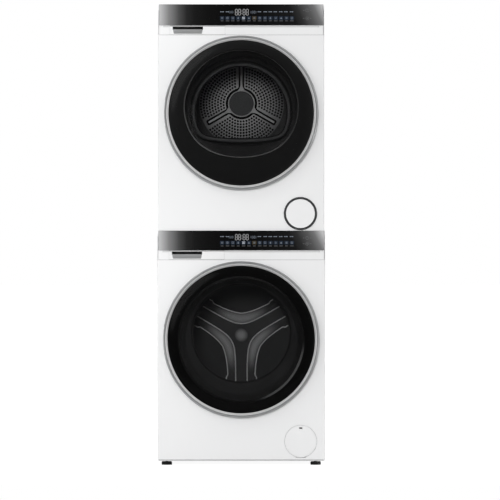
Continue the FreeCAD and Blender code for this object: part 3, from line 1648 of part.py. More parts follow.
def service_cover():
    """The dark ring with its barrel through the front panel, and the round cover inside it."""
    x, z = service_cover_place()
    inner, outer = cover_opening(), d.cover_ring_radius
    face = behind(-d.cover_ring_stand)
    barrel = inner + d.cover_ring_wall
    points = [
        (inner, face),
        (outer, face),
        (outer, front),
        (barrel, front),
        (barrel, behind(d.cover_ring_barrel)),
        (inner, behind(d.cover_ring_barrel)),
    ]
    notch = hinge_notch(
        "service_cover_ring_notch", x, z, d.cover_radius, d.cover_gap, face - d.flap_wall, front + d.flap_wall
    )
    ring = turned("service_cover_ring_round", points, x, z)
    node(cut("service_cover_ring", ring, notch), "service_cover_ring")
    round_cover("service_cover", x, z, d.cover_radius, face + d.seam_gap)


# ---------------------------------------------------------------------------------------------------
# both machines together


def shared_parts():
    fittings = [make(machine) for machine in (washer, dryer) for make in (hinge_plate, door_lock)]
    node(fuse("door_fittings", *fittings), "door_fittings")
    node(fuse("mains_glands", gland(washer), gland(dryer)), "mains_glands")
    outlets = (("washer_outlet", *outlet_place), ("dryer_outlet", *condensate_place))
    section = (d.outlet_radius, d.outlet_bore, d.outlet_flange)
    node(fuse("drain_spigots", *(spigot(*outlet, *section) for outlet in outlets)), "drain_spigots")
    outer = dryer.half - d.rail_inset
    deep = (behind(d.rail_end_inset), back - d.rail_end_inset)
    rail = block("stacking_rail", (outer - d.rail_width, outer), deep, (washer.top, dryer.pan_low))
    node(mirrored("stacking_rails", rail), "stacking_rails")


def build_washer():
    washer_pan()
    feet()
    x, z = flap_place()
    front_panel(washer, flap_hole(x, z))
    holes = [
        (washer.gland_x, washer.gland_z, d.gland_radius + d.rear_hole_gap),
        (*inlet_place, d.inlet_radius + d.rear_hole_gap),
        (*outlet_place, d.outlet_radius + d.rear_hole_gap),
    ]
    node(rear_plate(washer, holes), "washer_rear_panel")
    tub()
    gasket()
    counterweight()
    bearings()
    stator()
    suspension()
    pump()
    inlet_valve()
    dispenser()
    washer_drum()
    rotor()
    detergent_drawer()
    round_cover("filter_flap", x, z, d.flap_radius, front, d.flap_slot_rise)
    filter_cap()


def build_dryer():
    node(base_pan(dryer), "dryer_base")
    front_panel(dryer, service_cover_hole())
    dryer_rear()
    bulkhead()
    rollers()
    lint_filter()
    dryer_drum()
    dryer_motor()
    belt()
    heat_pump()
    water_tank()
    service_cover()


def check_and_export():
    """Stops on any failed object or bad shape, then writes each sub-part's file."""
    document.recompute()
    for item in document.Objects:
        if "Invalid" in item.State or "Error" in item.State:
            raise RuntimeError(f"{item.Label} failed: {item.State}")
    for part in nodes:
        if part.Shape.isNull() or not part.Shape.isValid() or not part.Shape.Solids:
            raise RuntimeError(f"{part.Label} has no valid solid")
    os.makedirs("parts", exist_ok=True)
    for part in nodes:
        part.Shape.exportStep(f"parts/{part.Label}.step")


build_washer()
build_dryer()
for machine in (washer, dryer):
    side_panels(machine)
    fascia(machine)
    control_panel(machine)
    top_plate(machine)
    door(machine)
shared_parts()
check_and_export()
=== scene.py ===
"""The finished look of a tumble dryer stacked on a washing machine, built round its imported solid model.

Lengths are in metres. +X is to the right seen from the front, -Y is the front and +Z is up.
"""

import json
import math
from collections import namedtuple

import bmesh
import bpy
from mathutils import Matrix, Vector
from mathutils.geometry import tessellate_polygon


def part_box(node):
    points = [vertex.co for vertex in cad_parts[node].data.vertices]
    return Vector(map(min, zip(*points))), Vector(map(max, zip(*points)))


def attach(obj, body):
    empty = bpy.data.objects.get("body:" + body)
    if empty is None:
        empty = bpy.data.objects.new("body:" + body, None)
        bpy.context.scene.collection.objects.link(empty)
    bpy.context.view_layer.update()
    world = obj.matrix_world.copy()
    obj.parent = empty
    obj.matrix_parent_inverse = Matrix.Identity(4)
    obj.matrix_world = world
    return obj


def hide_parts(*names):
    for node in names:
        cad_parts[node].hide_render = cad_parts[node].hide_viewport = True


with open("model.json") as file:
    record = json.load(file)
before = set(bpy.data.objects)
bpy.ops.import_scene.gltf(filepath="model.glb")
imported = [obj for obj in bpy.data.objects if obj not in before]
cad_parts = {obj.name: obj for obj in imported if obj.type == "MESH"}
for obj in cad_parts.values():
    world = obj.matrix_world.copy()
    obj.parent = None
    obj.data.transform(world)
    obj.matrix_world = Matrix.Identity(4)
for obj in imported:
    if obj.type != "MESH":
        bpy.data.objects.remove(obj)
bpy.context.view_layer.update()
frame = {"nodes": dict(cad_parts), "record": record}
nodes = frame["nodes"]
scene = bpy.context.scene
MM = 0.001
AROUND = 192


# ---- meshes


def finished(bm, name, angle=30):
    """Turns a bmesh into a piece, smooth except across edges sharper than angle degrees."""
    bmesh.ops.remove_doubles(bm, verts=bm.verts, dist=1e-6)
    bmesh.ops.dissolve_degenerate(bm, edges=bm.edges, dist=1e-7)
    bmesh.ops.recalc_face_normals(bm, faces=bm.faces)
    for face in bm.faces:
        face.smooth = True
    for edge in bm.edges:
        edge.smooth = len(edge.link_faces) == 2 and edge.calc_face_angle() < math.radians(angle)
    mesh = bpy.data.meshes.new(name)
    bm.to_mesh(mesh)
    bm.free()
    piece = bpy.data.objects.new(name, mesh)
    scene.collection.objects.link(piece)
    return piece


def bridge(bm, rows, around=True, closed=False):
    """Faces between each row of vertices and the next.

    around joins the ends of each row, and closed joins the last row to the first.
    """
    pairs = list(zip(rows, rows[1:]))
    if closed:
        pairs.append((rows[-1], rows[0]))
    for first, second in pairs:
        for index in range(len(first) if around else len(first) - 1):
            following = (index + 1) % len(first)
            bm.faces.new((first[index], first[following], second[following], second[index]))


def ring_of_points(count, radius, centre=(0, 0)):
    """Points (x, z) evenly spaced round a circle."""
    turns = [math.tau * index / count for index in range(count)]
    return [(centre[0] + radius * math.cos(turn), centre[1] + radius * math.sin(turn)) for turn in turns]


def turned_about(points, angle, centre):
    """Points (x, z) turned about the origin by an angle in degrees, then moved to the centre."""
    cosine, sine = math.cos(math.radians(angle)), math.sin(math.radians(angle))
    return [(centre[0] + x * cosine - z * sine, centre[1] + x * sine + z * cosine) for x, z in points]


def placed(rows, *origin):
    """Rows of offsets in millimetres, such as the points of a profile, moved to an origin."""
    return [tuple(start + step * MM for start, step in zip(origin, row)) for row in rows]


def rounded(points, radius, steps=3):
    """The same outline with its corners rounded. A point may carry a radius of its own as a third value."""
    result = []
    for index, point in enumerate(points):
        here = Vector(point[:2])
        before = Vector(points[index - 1][:2]) - here
        after = Vector(points[(index + 1) % len(points)][:2]) - here
        wanted = point[2] if len(point) > 2 else radius
        reach = min(wanted / math.tan(before.angle(after) / 2), before.length * 0.49, after.length * 0.49)
        first = here + before.normalized() * reach
        last = here + after.normalized() * reach
        for step in range(steps + 1):
            share = step / steps
            result.append(tuple(first.lerp(here, share).lerp(here.lerp(last, share), share)))
    return result


def smoothed(rows, steps):
    """Rows of numbers with smoothly eased rows added between them (Catmull-Rom)."""
    result = []
    for index in range(len(rows) - 1):
        before, start = rows[max(index - 1, 0)], rows[index]
        end, after = rows[index + 1], rows[min(index + 2, len(rows) - 1)]
        for step in range(steps):
            t = step / steps
            result.append(tuple(
                b + ((c - a) * t + (2 * a - 5 * b + 4 * c - d) * t**2 + (3 * b - a - 3 * c + d) * t**3) / 2
                for a, b, c, d in zip(before, start, end, after)
            ))
    return result + [rows[-1]]


def lathe(name, profile, centre, closed=True, turns=AROUND, angle=35):
    """A piece turned about a line along Y through centre (x, z). The profile is a list of (radius, y)."""
    bm = bmesh.new()
    spokes = []
    for x, z in ring_of_points(turns, 1):
        spokes.append([bm.verts.new((centre[0] + r * x, y, centre[1] + r * z)) for r, y in profile])
    bridge(bm, spokes, around=closed, closed=True)
    return finished(bm, name, angle)


def loft(name, sections, angle=50, closed=False):
    """A skin over closed loops of (x, y, z) points, all with the same number of points."""
    bm = bmesh.new()
    bridge(bm, [[bm.verts.new(point) for point in section] for section in sections], closed=closed)
    return finished(bm, name, angle)


def turned_left(loop):
    """The loop in the direction that keeps its inside on the left."""
    area = sum(a[0] * b[1] - b[0] * a[1] for a, b in zip(loop, loop[1:] + loop[:1]))
    return loop if area > 0 else loop[::-1]


def moved_in(loop, distance):
    """The loop shifted to its left by distance."""
    result = []
    for index, point in enumerate(loop):
        here = Vector(point)
        coming = (here - Vector(loop[index - 1])).normalized()
        going = (Vector(loop[(index + 1) % len(loop)]) - here).normalized()
        normal = Vector((-coming.y - going.y, coming.x + going.x))
        size = max(normal.length, 0.5)
        result.append(tuple(here + normal / size * (2 * distance / size)))
    return result


def plates(name, shapes, front, back, chamfer=0.0):
    """Flat pieces between two depths. Each shape is a list of (x, z) outlines: its edge, then its holes."""
    bm = bmesh.new()
    for shape in shapes:
        loops = [turned_left(shape[0])] + [turned_left(hole)[::-1] for hole in shape[1:]]
        layers = [(front + chamfer, loops), (back, loops)]
        if chamfer:
            layers.insert(0, (front, [moved_in(loop, chamfer) for loop in loops]))
        rows = [[[bm.verts.new((x, y, z)) for x, z in loop] for loop in layer] for y, layer in layers]
        caps = tessellate_polygon([[Vector((x, z, 0)) for x, z in loop] for loop in loops])
        for row in (rows[0], rows[-1]):
            flat = [vertex for loop in row for vertex in loop]
            for cap in caps:
                bm.faces.new([flat[index] for index in cap])
        for upper, lower in zip(rows, rows[1:]):
            for above, below in zip(upper, lower):
                bridge(bm, [above, below])
    return finished(bm, name)


def drawn_across(name, spans, profile, angle=30):
    """A closed profile of (y, z) points drawn out between each pair of sides in spans."""
    bm = bmesh.new()
    for span in spans:
        ends = [[bm.verts.new((x, y, z)) for y, z in profile] for x in span]
        bridge(bm, ends)
        for end in ends:
            bm.faces.new(end)
    return finished(bm, name, angle)


def rectangle(left, right, low, high, radius=0.0, steps=3):
    """The outline of a rectangle, which may have round corners."""
    corners = [(left, low), (right, low), (right, high), (left, high)]
    return rounded(corners, radius, steps) if radius else corners


def thicken(piece, thickness, offset=-1):
    """Gives an open skin a thickness, away from the side its faces look to."""
    wall = piece.modifiers.new("wall", "SOLIDIFY")
    wall.thickness = thickness
    wall.offset = offset
    return piece


def dress(piece, material, body, slot, *replaced):
    """Gives a new piece its material and the body it moves with, and hides the solids it stands for. The slot
    it is given is not used.
    """
    piece.data.materials.clear()
    piece.data.materials.append(material)
    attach(piece, body)
    if replaced:
        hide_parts(*replaced)


# ---- materials


class Nodes:
    """A node tree, with short ways to add to it."""

    def __init__(self, tree):
        self.tree = tree

    def feed(self, target, source):
        """Gives an input another node's output, or a plain value."""
        if isinstance(source, bpy.types.NodeSocket):
            self.tree.links.new(source, target)
        else:
            target.default_value = source

    def node(self, kind, output, inputs, **settings):
        """One output of a new node, with the node's inputs fed."""
        node = self.tree.nodes.new(kind)
        for name, value in settings.items():
            setattr(node, name, value)
        for socket, source in inputs.items():
            self.feed(node.inputs[socket], source)
        return node.outputs[output]

    def ray(self, kind):
        return self.node("ShaderNodeLightPath", f"Is {kind} Ray", {})

    def axis(self, letter, vector):
        return self.node("ShaderNodeSeparateXYZ", letter, {"Vector": vector})

    def mapped(self, value, before, after=(0, 1), **settings):
        """The value carried over from one range to another, and held at its ends."""
        ends = {"From Min": before[0], "From Max": before[1], "To Min": after[0], "To Max": after[1]}
        return self.node("ShaderNodeMapRange", "Result", {"Value": value, **ends}, **settings)

    def ramp(self, factor, stops, interpolation="LINEAR"):
        """A colour for each place in stops, a list of (place, colour)."""
        colour = self.node("ShaderNodeValToRGB", "Color", {"Fac": factor})
        colour.node.color_ramp.interpolation = interpolation
        elements = colour.node.color_ramp.elements
        while len(elements) < len(stops):
            elements.new(0.5)
        for element, (place, shown) in zip(elements, stops):
            element.position = place
            element.color = (*shown, 1)
        return colour

    def mix(self, factor, first, second, blend="MIX"):
        sockets = {0: factor, 6: first, 7: second}
        return self.node("ShaderNodeMix", 2, sockets, data_type="RGBA", blend_type=blend)


class Finish(Nodes):
    """A material under construction, with short ways to feed its Principled surface."""

    def __init__(self, name, colour, roughness, metallic=0.0, alpha=1.0):
        self.material = bpy.data.materials.new(name)
        self.material.use_nodes = True
        super().__init__(self.material.node_tree)
        self.colour = colour
        self.surface = self.tree.nodes["Principled BSDF"]
        self.place = self.node("ShaderNodeTexCoord", "Object", {})
        self.set(Base_Color=(*colour, 1), Roughness=roughness, Metallic=metallic, Alpha=alpha)

    def set(self, **sockets):
        """Feeds the surface's inputs, which are named with a _ for each space."""
        for name, source in sockets.items():
            self.feed(self.surface.inputs[name.replace("_", " ")], source)

    def noise(self, size, detail=3.0, stretch=(1, 1, 1)):
        """Noise whose patches are about size metres across."""
        place = self.node("ShaderNodeMapping", "Vector", {"Vector": self.place, "Scale": stretch})
        return self.node("ShaderNodeTexNoise", "Fac", {"Scale": 1 / size, "Detail": detail, "Vector": place})

    def tint(self, factor, *stops):
        self.set(Base_Color=self.ramp(factor, stops))

    def mottle(self, low, high, size, detail=3.0):
        """Patches about size metres across, between a low and a high share of the colour."""
        self.tint(self.noise(size, detail), (0.3, shade(self.colour, low)), (0.7, shade(self.colour, high)))

    def gloss(self, factor, low, high):
        """Roughness that wanders between two values."""
        self.set(Roughness=self.mapped(factor, (0, 1), (low, high)))

    def bump(self, height, distance, strength):
        inputs = {"Strength": strength, "Distance": distance, "Height": height}
        self.set(Normal=self.node("ShaderNodeBump", "Normal", inputs))


def shade(colour, factor):
    """The colour made darker or lighter by a factor."""
    return tuple(min(1.0, channel * factor) for channel in colour)


def grey(level):
    return (level, level, level)


def painted_steel(name, colour):
    """Powder-coated sheet: a faint orange peel and a soft gloss."""
    finish = Finish(name, colour, 0.38)
    finish.mottle(0.996, 1.004, 0.4, 2)
    finish.gloss(finish.noise(0.004), 0.37, 0.41)
    finish.bump(finish.noise(0.0016, 2), 0.00003, 0.35)
    return finish.material


def moulded(name, colour, roughness, grain=0.0006, depth=0.00004, specular=0.5, mottle=0.06):
    """Moulded plastic with a fine grain and a little mottling."""
    finish = Finish(name, colour, roughness)
    finish.set(Specular_IOR_Level=specular)
    finish.mottle(1 - mottle, 1 + mottle, 0.05)
    finish.gloss(finish.noise(0.01), roughness - 0.05, roughness + 0.05)
    finish.bump(finish.noise(grain, 2), depth, 0.4)
    return finish.material


def metal(name, colour, roughness, stretch=(1, 1, 1), size=0.004, depth=0.00002, metallic=1.0):
    """Bare or plated metal, with grain that runs the way it is stretched."""
    finish = Finish(name, colour, roughness, metallic)
    grain = finish.noise(size, 4, stretch)
    finish.tint(grain, (0.25, shade(colour, 0.9)), (0.75, shade(colour, 1.08)))
    finish.gloss(grain, roughness - 0.06, roughness + 0.06)
    finish.bump(grain, depth, 0.5)
    return finish.material


def zinc_plated(name):
    """Zinc-plated sheet with its small pale spangles."""
    finish = Finish(name, (0.66, 0.67, 0.68), 0.45, 0.5)
    spangle = finish.node("ShaderNodeTexVoronoi", "Color", {"Scale": 210, "Vector": finish.place})
    finish.tint(spangle, (0.2, (0.48, 0.49, 0.5)), (0.8, (0.57, 0.58, 0.59)))
    finish.gloss(spangle.node.outputs["Distance"], 0.4, 0.5)
    finish.bump(finish.noise(0.02, 2), 0.00005, 0.3)
    return finish.material


def tinted_glass(name, colour, alpha, roughness=0.03):
    """Glass seen through, darkened by its tint, with a trace of waviness."""
    finish = Finish(name, colour, roughness, alpha=alpha)
    finish.set(IOR=2.1)
    finish.gloss(finish.noise(0.08), roughness * 0.7, roughness * 1.3)
    finish.bump(finish.noise(0.12, 1), 0.0002, 0.15)
    finish.mottle(0.8, 1.2, 0.1)
    return finish.material


# The painted reflection on the control panels: half the width it spans, and its grey at each place across.
PAINTED_REFLECTION_HALF_WIDTH = 0.296
PAINTED_REFLECTION_FADE = (
    (0.0, 0.52), (0.03, 0.36), (0.062, 0.21), (0.122, 0.066), (0.17, 0.02), (0.222, 0.01), (0.3, 0.006),
    (0.5, 0.003), (0.79, 0.01), (0.84, 0.028), (0.905, 0.095), (0.945, 0.17), (0.975, 0.35), (1.0, 0.56),
)


def panel_glass_with_painted_reflection(machine):
    """Black glass with a painted reflection, whose colour fades to silver at both ends.

    The right end's painted reflection leans, so that it starts further out towards the panel's foot.
    """
    low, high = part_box(f"{machine}_control_panel")
    finish = Finish(f"{machine}_panel_glass", grey(0.01), 0.04)
    across = finish.mapped(finish.axis("X", finish.place), (-PAINTED_REFLECTION_HALF_WIDTH, PAINTED_REFLECTION_HALF_WIDTH))
    lean = finish.mapped(finish.axis("Z", finish.place), (low.z, high.z), (-0.046, 0.012))
    right = finish.mapped(across, (0.5, 0.8))
    lean = finish.node("ShaderNodeMath", "Value", {0: lean, 1: right}, operation="MULTIPLY")
    leaning = finish.node("ShaderNodeMath", "Value", {0: across, 1: lean}, operation="ADD")
    finish.tint(leaning, *((place, (level, level, level * 1.01)) for place, level in PAINTED_REFLECTION_FADE))
    finish.gloss(finish.noise(0.05), 0.03, 0.05)
    return finish.material


def glossy_black(name):
    """Black glass-like print that mirrors the room at its bevels."""
    finish = Finish(name, grey(0.0012), 0.12)
    finish.set(IOR=2.5)
    finish.gloss(finish.noise(0.02), 0.1, 0.14)
    finish.mottle(5 / 6, 7 / 6, 0.05)
    return finish.material


def lit_print(name, *colour):
    """Backlit print behind the panel's glass."""
    finish = Finish(name, shade(colour, 0.3), 0.3)
    finish.set(Emission_Color=(*colour, 1), Emission_Strength=1.0)
    finish.gloss(finish.noise(0.002), 0.25, 0.35)
    finish.mottle(5 / 6, 7 / 6, 0.004)
    return finish.material


def cast_iron_grey(name, colour):
    """Cast concrete or iron: a coarse, dull grain."""
    finish = Finish(name, colour, 0.85)
    finish.mottle(0.8, 1.15, 0.006, 5)
    finish.bump(finish.noise(0.003, 5), 0.0004, 0.6)
    return finish.material


WHITE = (0.86, 0.862, 0.865)
FINISHES = {
    "white_steel": painted_steel("white_painted_steel", WHITE),
    "white_plastic": moulded("white_moulded_plastic", WHITE, 0.36, 0.0009, 0.00002, mottle=0.008),
    "control_glass": panel_glass_with_painted_reflection("washer"),
    "door_glass": tinted_glass("dark_door_glass", (0.003, 0.003, 0.0033), 0.16),
    "bowl_glass": tinted_glass("clear_bowl_glass", (0.02, 0.021, 0.022), 0.045, 0.02),
    "door_ring": metal("satin_chrome", (0.36, 0.365, 0.37), 0.34, (1, 60, 1), 0.01, metallic=0.55),
    "steel": metal("drum_steel", (0.56, 0.565, 0.57), 0.36, (1, 30, 1)),
    "zinc_steel": zinc_plated("zinc_plated_steel"),
    "cast_aluminium": metal("cast_aluminium", (0.5, 0.51, 0.52), 0.5, (1, 1, 1), 0.002, 0.0001),
    "iron": cast_iron_grey("counterweight_concrete", (0.32, 0.31, 0.3)),
    "dark_plastic": moulded("dark_moulded_plastic", (0.014, 0.014, 0.0145), 0.4),
    "grey_plastic": moulded("grey_moulded_plastic", (0.22, 0.225, 0.23), 0.45),
    "trim_plastic": moulded("dark_trim_plastic", (0.045, 0.046, 0.048), 0.35),
    "rubber": moulded("grey_rubber", (0.035, 0.036, 0.038), 0.6, 0.001, 0.00008),
    "motor": moulded("motor_varnish", (0.06, 0.06, 0.07), 0.4, 0.002, 0.0001),
}
# Black for seals and linings, and a painted shade in the finger slots, the louvre slits and the screws' cross
# recesses.
BLACK_LINER_AND_PAINTED_SHADE = moulded("black_liner_and_painted_shade", grey(0.004), 0.5)
SHADOW_BLACK = moulded("shadow_black", (0.007, 0.007, 0.0072), 0.4)
GLOSS_BLACK = glossy_black("gloss_black")
BORDER_BLACK = moulded("border_black", grey(0.0015), 0.6, specular=0.12)
# Grey copies of the white plastic: a painted shadow under the control panels, darker on the drawers.
RETURN_PAINTED_SHADOW = moulded("return_painted_shadow", (0.69, 0.692, 0.695), 0.4, mottle=0.008)
DRAWER_RETURN_PAINTED_SHADOW = moulded("drawer_return_painted_shadow", (0.56, 0.562, 0.565), 0.4, mottle=0.008)
# A grey copy of the white paint, a painted shade along the washer's foot.
HEM_PAINTED_SHADE = painted_steel("hem_painted_shade", (0.58, 0.582, 0.585))
SEAL_BLACK = moulded("seal_black", (0.015, 0.015, 0.0155), 0.5, 0.001, 0.00006)
# Near-white metal with a large diffuse share: partly its own brightness, partly a painted reflection.
CHROME_WITH_PAINTED_REFLECTION = metal("chrome_painted_reflection", (0.95, 0.953, 0.956), 0.24, (1, 60, 1), 0.01, metallic=0.45)
GRIP_SILVER = metal("grip_silver", (0.42, 0.425, 0.43), 0.34, (60, 1, 1), 0.01, metallic=0.4)
PRINT_BLUE = lit_print("print_blue", 0.011, 0.017, 0.028)
PRINT_AMBER = lit_print("print_amber", 0.035, 0.028, 0.017)
PRINT_WHITE = lit_print("print_white", 0.62, 0.66, 0.72)
PRINT_PALE = lit_print("print_pale", 0.15, 0.17, 0.2)
PRINT_GREY = lit_print("print_grey", 0.11, 0.11, 0.115)
PRINT_DIGIT = lit_print("print_digit", 0.27, 0.27, 0.275)


def finish_carried_over_nodes():
    """Every solid that stays in view gets the finish of its slot."""
    slots = {part["node"]: part["material_slot"] for part in frame["record"]["subparts"]}
    for name, node in nodes.items():
        node.data.materials.clear()
        node.data.materials.append(FINISHES[slots[name]])


finish_carried_over_nodes()
nodes["dryer_control_panel"].data.materials[0] = panel_glass_with_painted_reflection("dryer")
# The dryer's drum back gets near-black steel, a painted shade for the dark seen through the perforated sheet.
nodes["dryer_drum_back"].data.materials[0] = metal("painted_shade_drum_steel", grey(0.004), 0.6)


# ---- places read from the frame


class Machine:
    """Where one machine's front parts and drum lie."""

    def __init__(self, name, drawer):
        self.name = name
        self.drawer = drawer
        self.door = f"{name}_door"
        ring_low, ring_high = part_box(f"{name}_door_ring")
        self.door_z = (ring_low.z + ring_high.z) / 2
        self.ring_front = ring_low.y
        glass_low, glass_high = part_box(f"{name}_door_glass")
        self.glass_radius = glass_high.x
        self.glass_front, self.glass_rear = glass_low.y, glass_high.y
        panel_low, panel_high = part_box(f"{name}_control_panel")
        self.panel_front, self.panel_low, self.panel_right = panel_low.y, panel_low.z, panel_high.x
        shell_low, shell_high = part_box(f"{name}_drum_shell")
        self.axis_z = (shell_low.z + shell_high.z) / 2
        self.drum_front, self.drum_rear, self.drum_radius = shell_low.y, shell_high.y, shell_high.x
        drawer_low, drawer_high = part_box(drawer)
        self.front = drawer_low.y
        self.drawer_left, self.drawer_right = drawer_low.x, drawer_high.x
        self.strip_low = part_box(f"{name}_fascia")[0].z


washer = Machine("washer", "detergent_drawer")
dryer = Machine("dryer", "water_tank")


# ---- doors

GLASS_CROWN = 3.5 * MM
GLASS_ROLL = 5.7 * MM
GLASS_THICKNESS = 4.6 * MM
GLASS_FLAT_SHARE = 0.842
GLASS_CLEARANCE = 0.4 * MM
GLASS_STEPS = 48
BORDER_GAP = 0.25 * MM
BORDER_THICKNESS = 0.6 * MM
WASHER_WINDOW = 226.8 * MM
WASHER_BEVEL_FOOT = 219.5 * MM
DRYER_WINDOW = 206 * MM
DRYER_WINDOW_SAG = 340 * MM
TRIM_ROWS = ((0, 5), (0, 2.6), (5.2, -1.2), (6.4, -1.2), (7.2, -0.2), (7.2, 0.2))


def d_outline(radius, centre, foot, sharpness, sag, grow=0.0):
    """Points of a D lying on its long side: a circle whose lower part is cut off, with soft corners.

    radius and centre are the circle's, foot is the lowest height, sag is the radius of the long side,
    and grow moves the line out.
    """
    points = []
    above = sag - (centre - foot)
    for index in range(AROUND):
        turn = math.tau * index / AROUND
        rise = math.sin(turn) * above
        cut = rise + math.sqrt(rise**2 + (sag + grow) ** 2 - above**2)
        reach = ((radius + grow) ** -sharpness + cut**-sharpness) ** (-1 / sharpness)
        points.append((reach * math.cos(turn), centre + reach * math.sin(turn)))
    return points


def glass_face(machine, radius):
    """Depth of the outer glass's front at a radius: nearly flat in the middle, rolling back at the rim."""
    edge = machine.glass_radius
    flat = edge * GLASS_FLAT_SHARE
    if radius <= flat:
        return machine.glass_front + GLASS_CROWN * (radius / flat) ** 2
    beyond = radius - flat
    slope = 2 * GLASS_CROWN / flat
    return machine.glass_front + GLASS_CROWN + slope * beyond + GLASS_ROLL * (beyond / (edge - flat)) ** 2


def between(first, second, share):
    """The points of one outline, moved by a share of the way to those of another."""
    return [(x0 + (x1 - x0) * share, z0 + (z1 - z0) * share) for (x0, z0), (x1, z1) in zip(first, second)]


def door_border(machine, window, rear_window, material):
    """The black border behind the outer glass, and the bevel of the window that the drum is seen through."""
    outer = ring_of_points(AROUND, machine.glass_radius - GLASS_CLEARANCE, (0, machine.door_z))
    sections = []
    for step in range(9):
        section = []
        for x, z in between(outer, window, step / 8):
            depth = glass_face(machine, math.hypot(x, z - machine.door_z)) + GLASS_THICKNESS + BORDER_GAP
            section.append((x, min(depth, machine.glass_rear - BORDER_GAP), z))
        sections.append(section)
    border = thicken(loft(f"{machine.name}_door_black_border", sections, 30), BORDER_THICKNESS, 1)
    dress(border, material, machine.door, "dark_plastic")
    edge = [sections[-1]]
    nearest = edge[0][0][1]
    for share, depth in ((0.5, 0.9), (1, 1.9), (1, 13)):
        edge.append([(x, nearest + depth * MM, z) for x, z in between(window, rear_window, share)])
    bevel = thicken(loft(f"{machine.name}_door_window_bevel", edge, 30), BORDER_THICKNESS, 1)
    dress(bevel, GLOSS_BLACK, machine.door, "dark_plastic")


def dome(machine):
    """The outer glass, with its front edge taken back a little."""
    radii = [machine.glass_radius * step / GLASS_STEPS for step in range(GLASS_STEPS + 1)]
    face = [(radius, glass_face(machine, radius)) for radius in radii]
    rear = [(radius, y + GLASS_THICKNESS) for radius, y in reversed(face)]
    face[-1] = (face[-1][0], face[-1][1] + 0.6 * MM)
    name = f"{machine.name}_door_domed_glass"
    glass = lathe(name, face + rear, (0, machine.door_z), closed=False, turns=256, angle=50)
    dress(glass, FINISHES["door_glass"], machine.door, "door_glass", f"{machine.name}_door_glass")


def bright_trim(machine):
    """The polished trim ring between the glass and the satin ring, bevelled towards the glass. Its near-white
    colour is partly the chrome's own brightness and partly a painted reflection, given as a large diffuse
    share.
    """
    rows = placed(TRIM_ROWS, machine.glass_radius + GLASS_CLEARANCE, machine.ring_front)
    profile = rounded(rows, 0.4 * MM)
    ring = lathe(f"{machine.name}_door_bright_trim", profile, (0, machine.door_z), turns=256)
    dress(ring, CHROME_WITH_PAINTED_REFLECTION, machine.door, "door_ring")


def bowl_surround(machine, rows):
    """A black ring between the inner rim and the bowl, which hides the front panel's edge."""
    profile = placed(rows, 0, machine.front)
    ring = lathe(f"{machine.name}_door_bowl_surround", profile, (0, machine.door_z), closed=False)
    dress(thicken(ring, 0.5 * MM, 0), BLACK_LINER_AND_PAINTED_SHADE, machine.door, "dark_plastic")


def dryer_window(grow=0.0):
    """The D-shaped window of the dryer's door."""
    z = dryer.door_z
    return d_outline(DRYER_WINDOW, z + 21 * MM, z - 163 * MM, 16, DRYER_WINDOW_SAG, grow)


def washer_window(radius):
    """The round window of the washer's door."""
    return ring_of_points(AROUND, radius, (0, washer.door_z))


door_border(washer, washer_window(WASHER_WINDOW), washer_window(WASHER_BEVEL_FOOT), BORDER_BLACK)
bowl_surround(washer, ((222.5, -7.5), (213, -3.7), (202.5, 0.4)))
door_border(dryer, dryer_window(), dryer_window(-4 * MM), SHADOW_BLACK)
bowl_surround(dryer, ((244, -14.5), (207.5, -14.5), (205.5, -13.5)))
for machine in (washer, dryer):
    dome(machine)
    bright_trim(machine)


# ---- control panels

TILE_COUNT = 14
TILE_FIRST = -68.2 * MM
TILE_PITCH = 19.19 * MM
TILE_WIDTH = 15.6 * MM
TILE_HEIGHT = 13 * MM
CHOSEN_TILE = 4
WARM_TILE = 6
PRINT_DEPTH = 0.15 * MM
DIGIT_WIDTH = 7.6 * MM
DIGIT_THICKNESS = 1.9 * MM
DIGIT_PLACES = (-21, -9.5, 6.5, 18)
DIGIT_BARS = [(0.5, up, False) for up in (1, 0.5, 0)] + [(x, up, True) for up in (0.75, 0.25) for x in (0, 1)]
LABELS = ((-68.5, 14), (-49, 13), *((x, 13) for x in (65, 86, 104, 122, 141.5, 160, 180)))
KEY_X = 236
PanelRows = namedtuple("PanelRows", "tiles captions digit_low digit_high labels lower_key upper_key")


def segment(x, z, length, upright):
    """One bar of a digit, pointed at both ends."""
    half, slim = length / 2, DIGIT_THICKNESS / 2
    upper = [(-half, 0), (slim - half, slim), (half - slim, slim), (half, 0)]
    outline = upper + [(half - slim, -slim), (slim - half, -slim)]
    if upright:
        outline = [(b, a) for a, b in outline]
    return [[(x + a, z + b) for a, b in outline]]


def digit(left, low, height):
    """The figure 8 as a display's seven bars."""
    shapes = []
    for across, up, upright in DIGIT_BARS:
        length = (height / 2 if upright else DIGIT_WIDTH) - 0.7 * MM
        shapes.append(segment(left + across * DIGIT_WIDTH, low + up * height, length, upright))
    return shapes


def dot(x, z, radius, count=12):
    """A filled circle."""
    return [ring_of_points(count, radius, (x, z))]


def loop_of(x, z, radius, thickness, count=20):
    """A circle's rim."""
    return dot(x, z, radius, count) + dot(x, z, radius - thickness, count)


def bar(x, z, width, height, radius=0.0):
    """A filled rectangle, which may have round corners."""
    return [rectangle(x - width / 2, x + width / 2, z - height / 2, z + height / 2, radius)]


def icon_ring(x, z, size):
    return [loop_of(x, z, size * 0.5, size * 0.14), dot(x, z, size * 0.14)]


def icon_bars(x, z, size):
    return [bar(x, z + step * size * 0.3, size * 0.9, size * 0.13) for step in (-1, 0, 1)]


def icon_square(x, z, size):
    return [bar(x, z, size * 0.84, size * 0.84) + bar(x, z, size * 0.58, size * 0.58)]


def icon_drop(x, z, size):
    """A drop: a point above a round belly."""
    outline = [(x, z + size * 0.52)]
    for index in range(13):
        turn = math.radians(30 - 20 * index)
        outline.append((x + size * 0.3 * math.cos(turn), z - size * 0.14 + size * 0.3 * math.sin(turn)))
    return [[outline]]


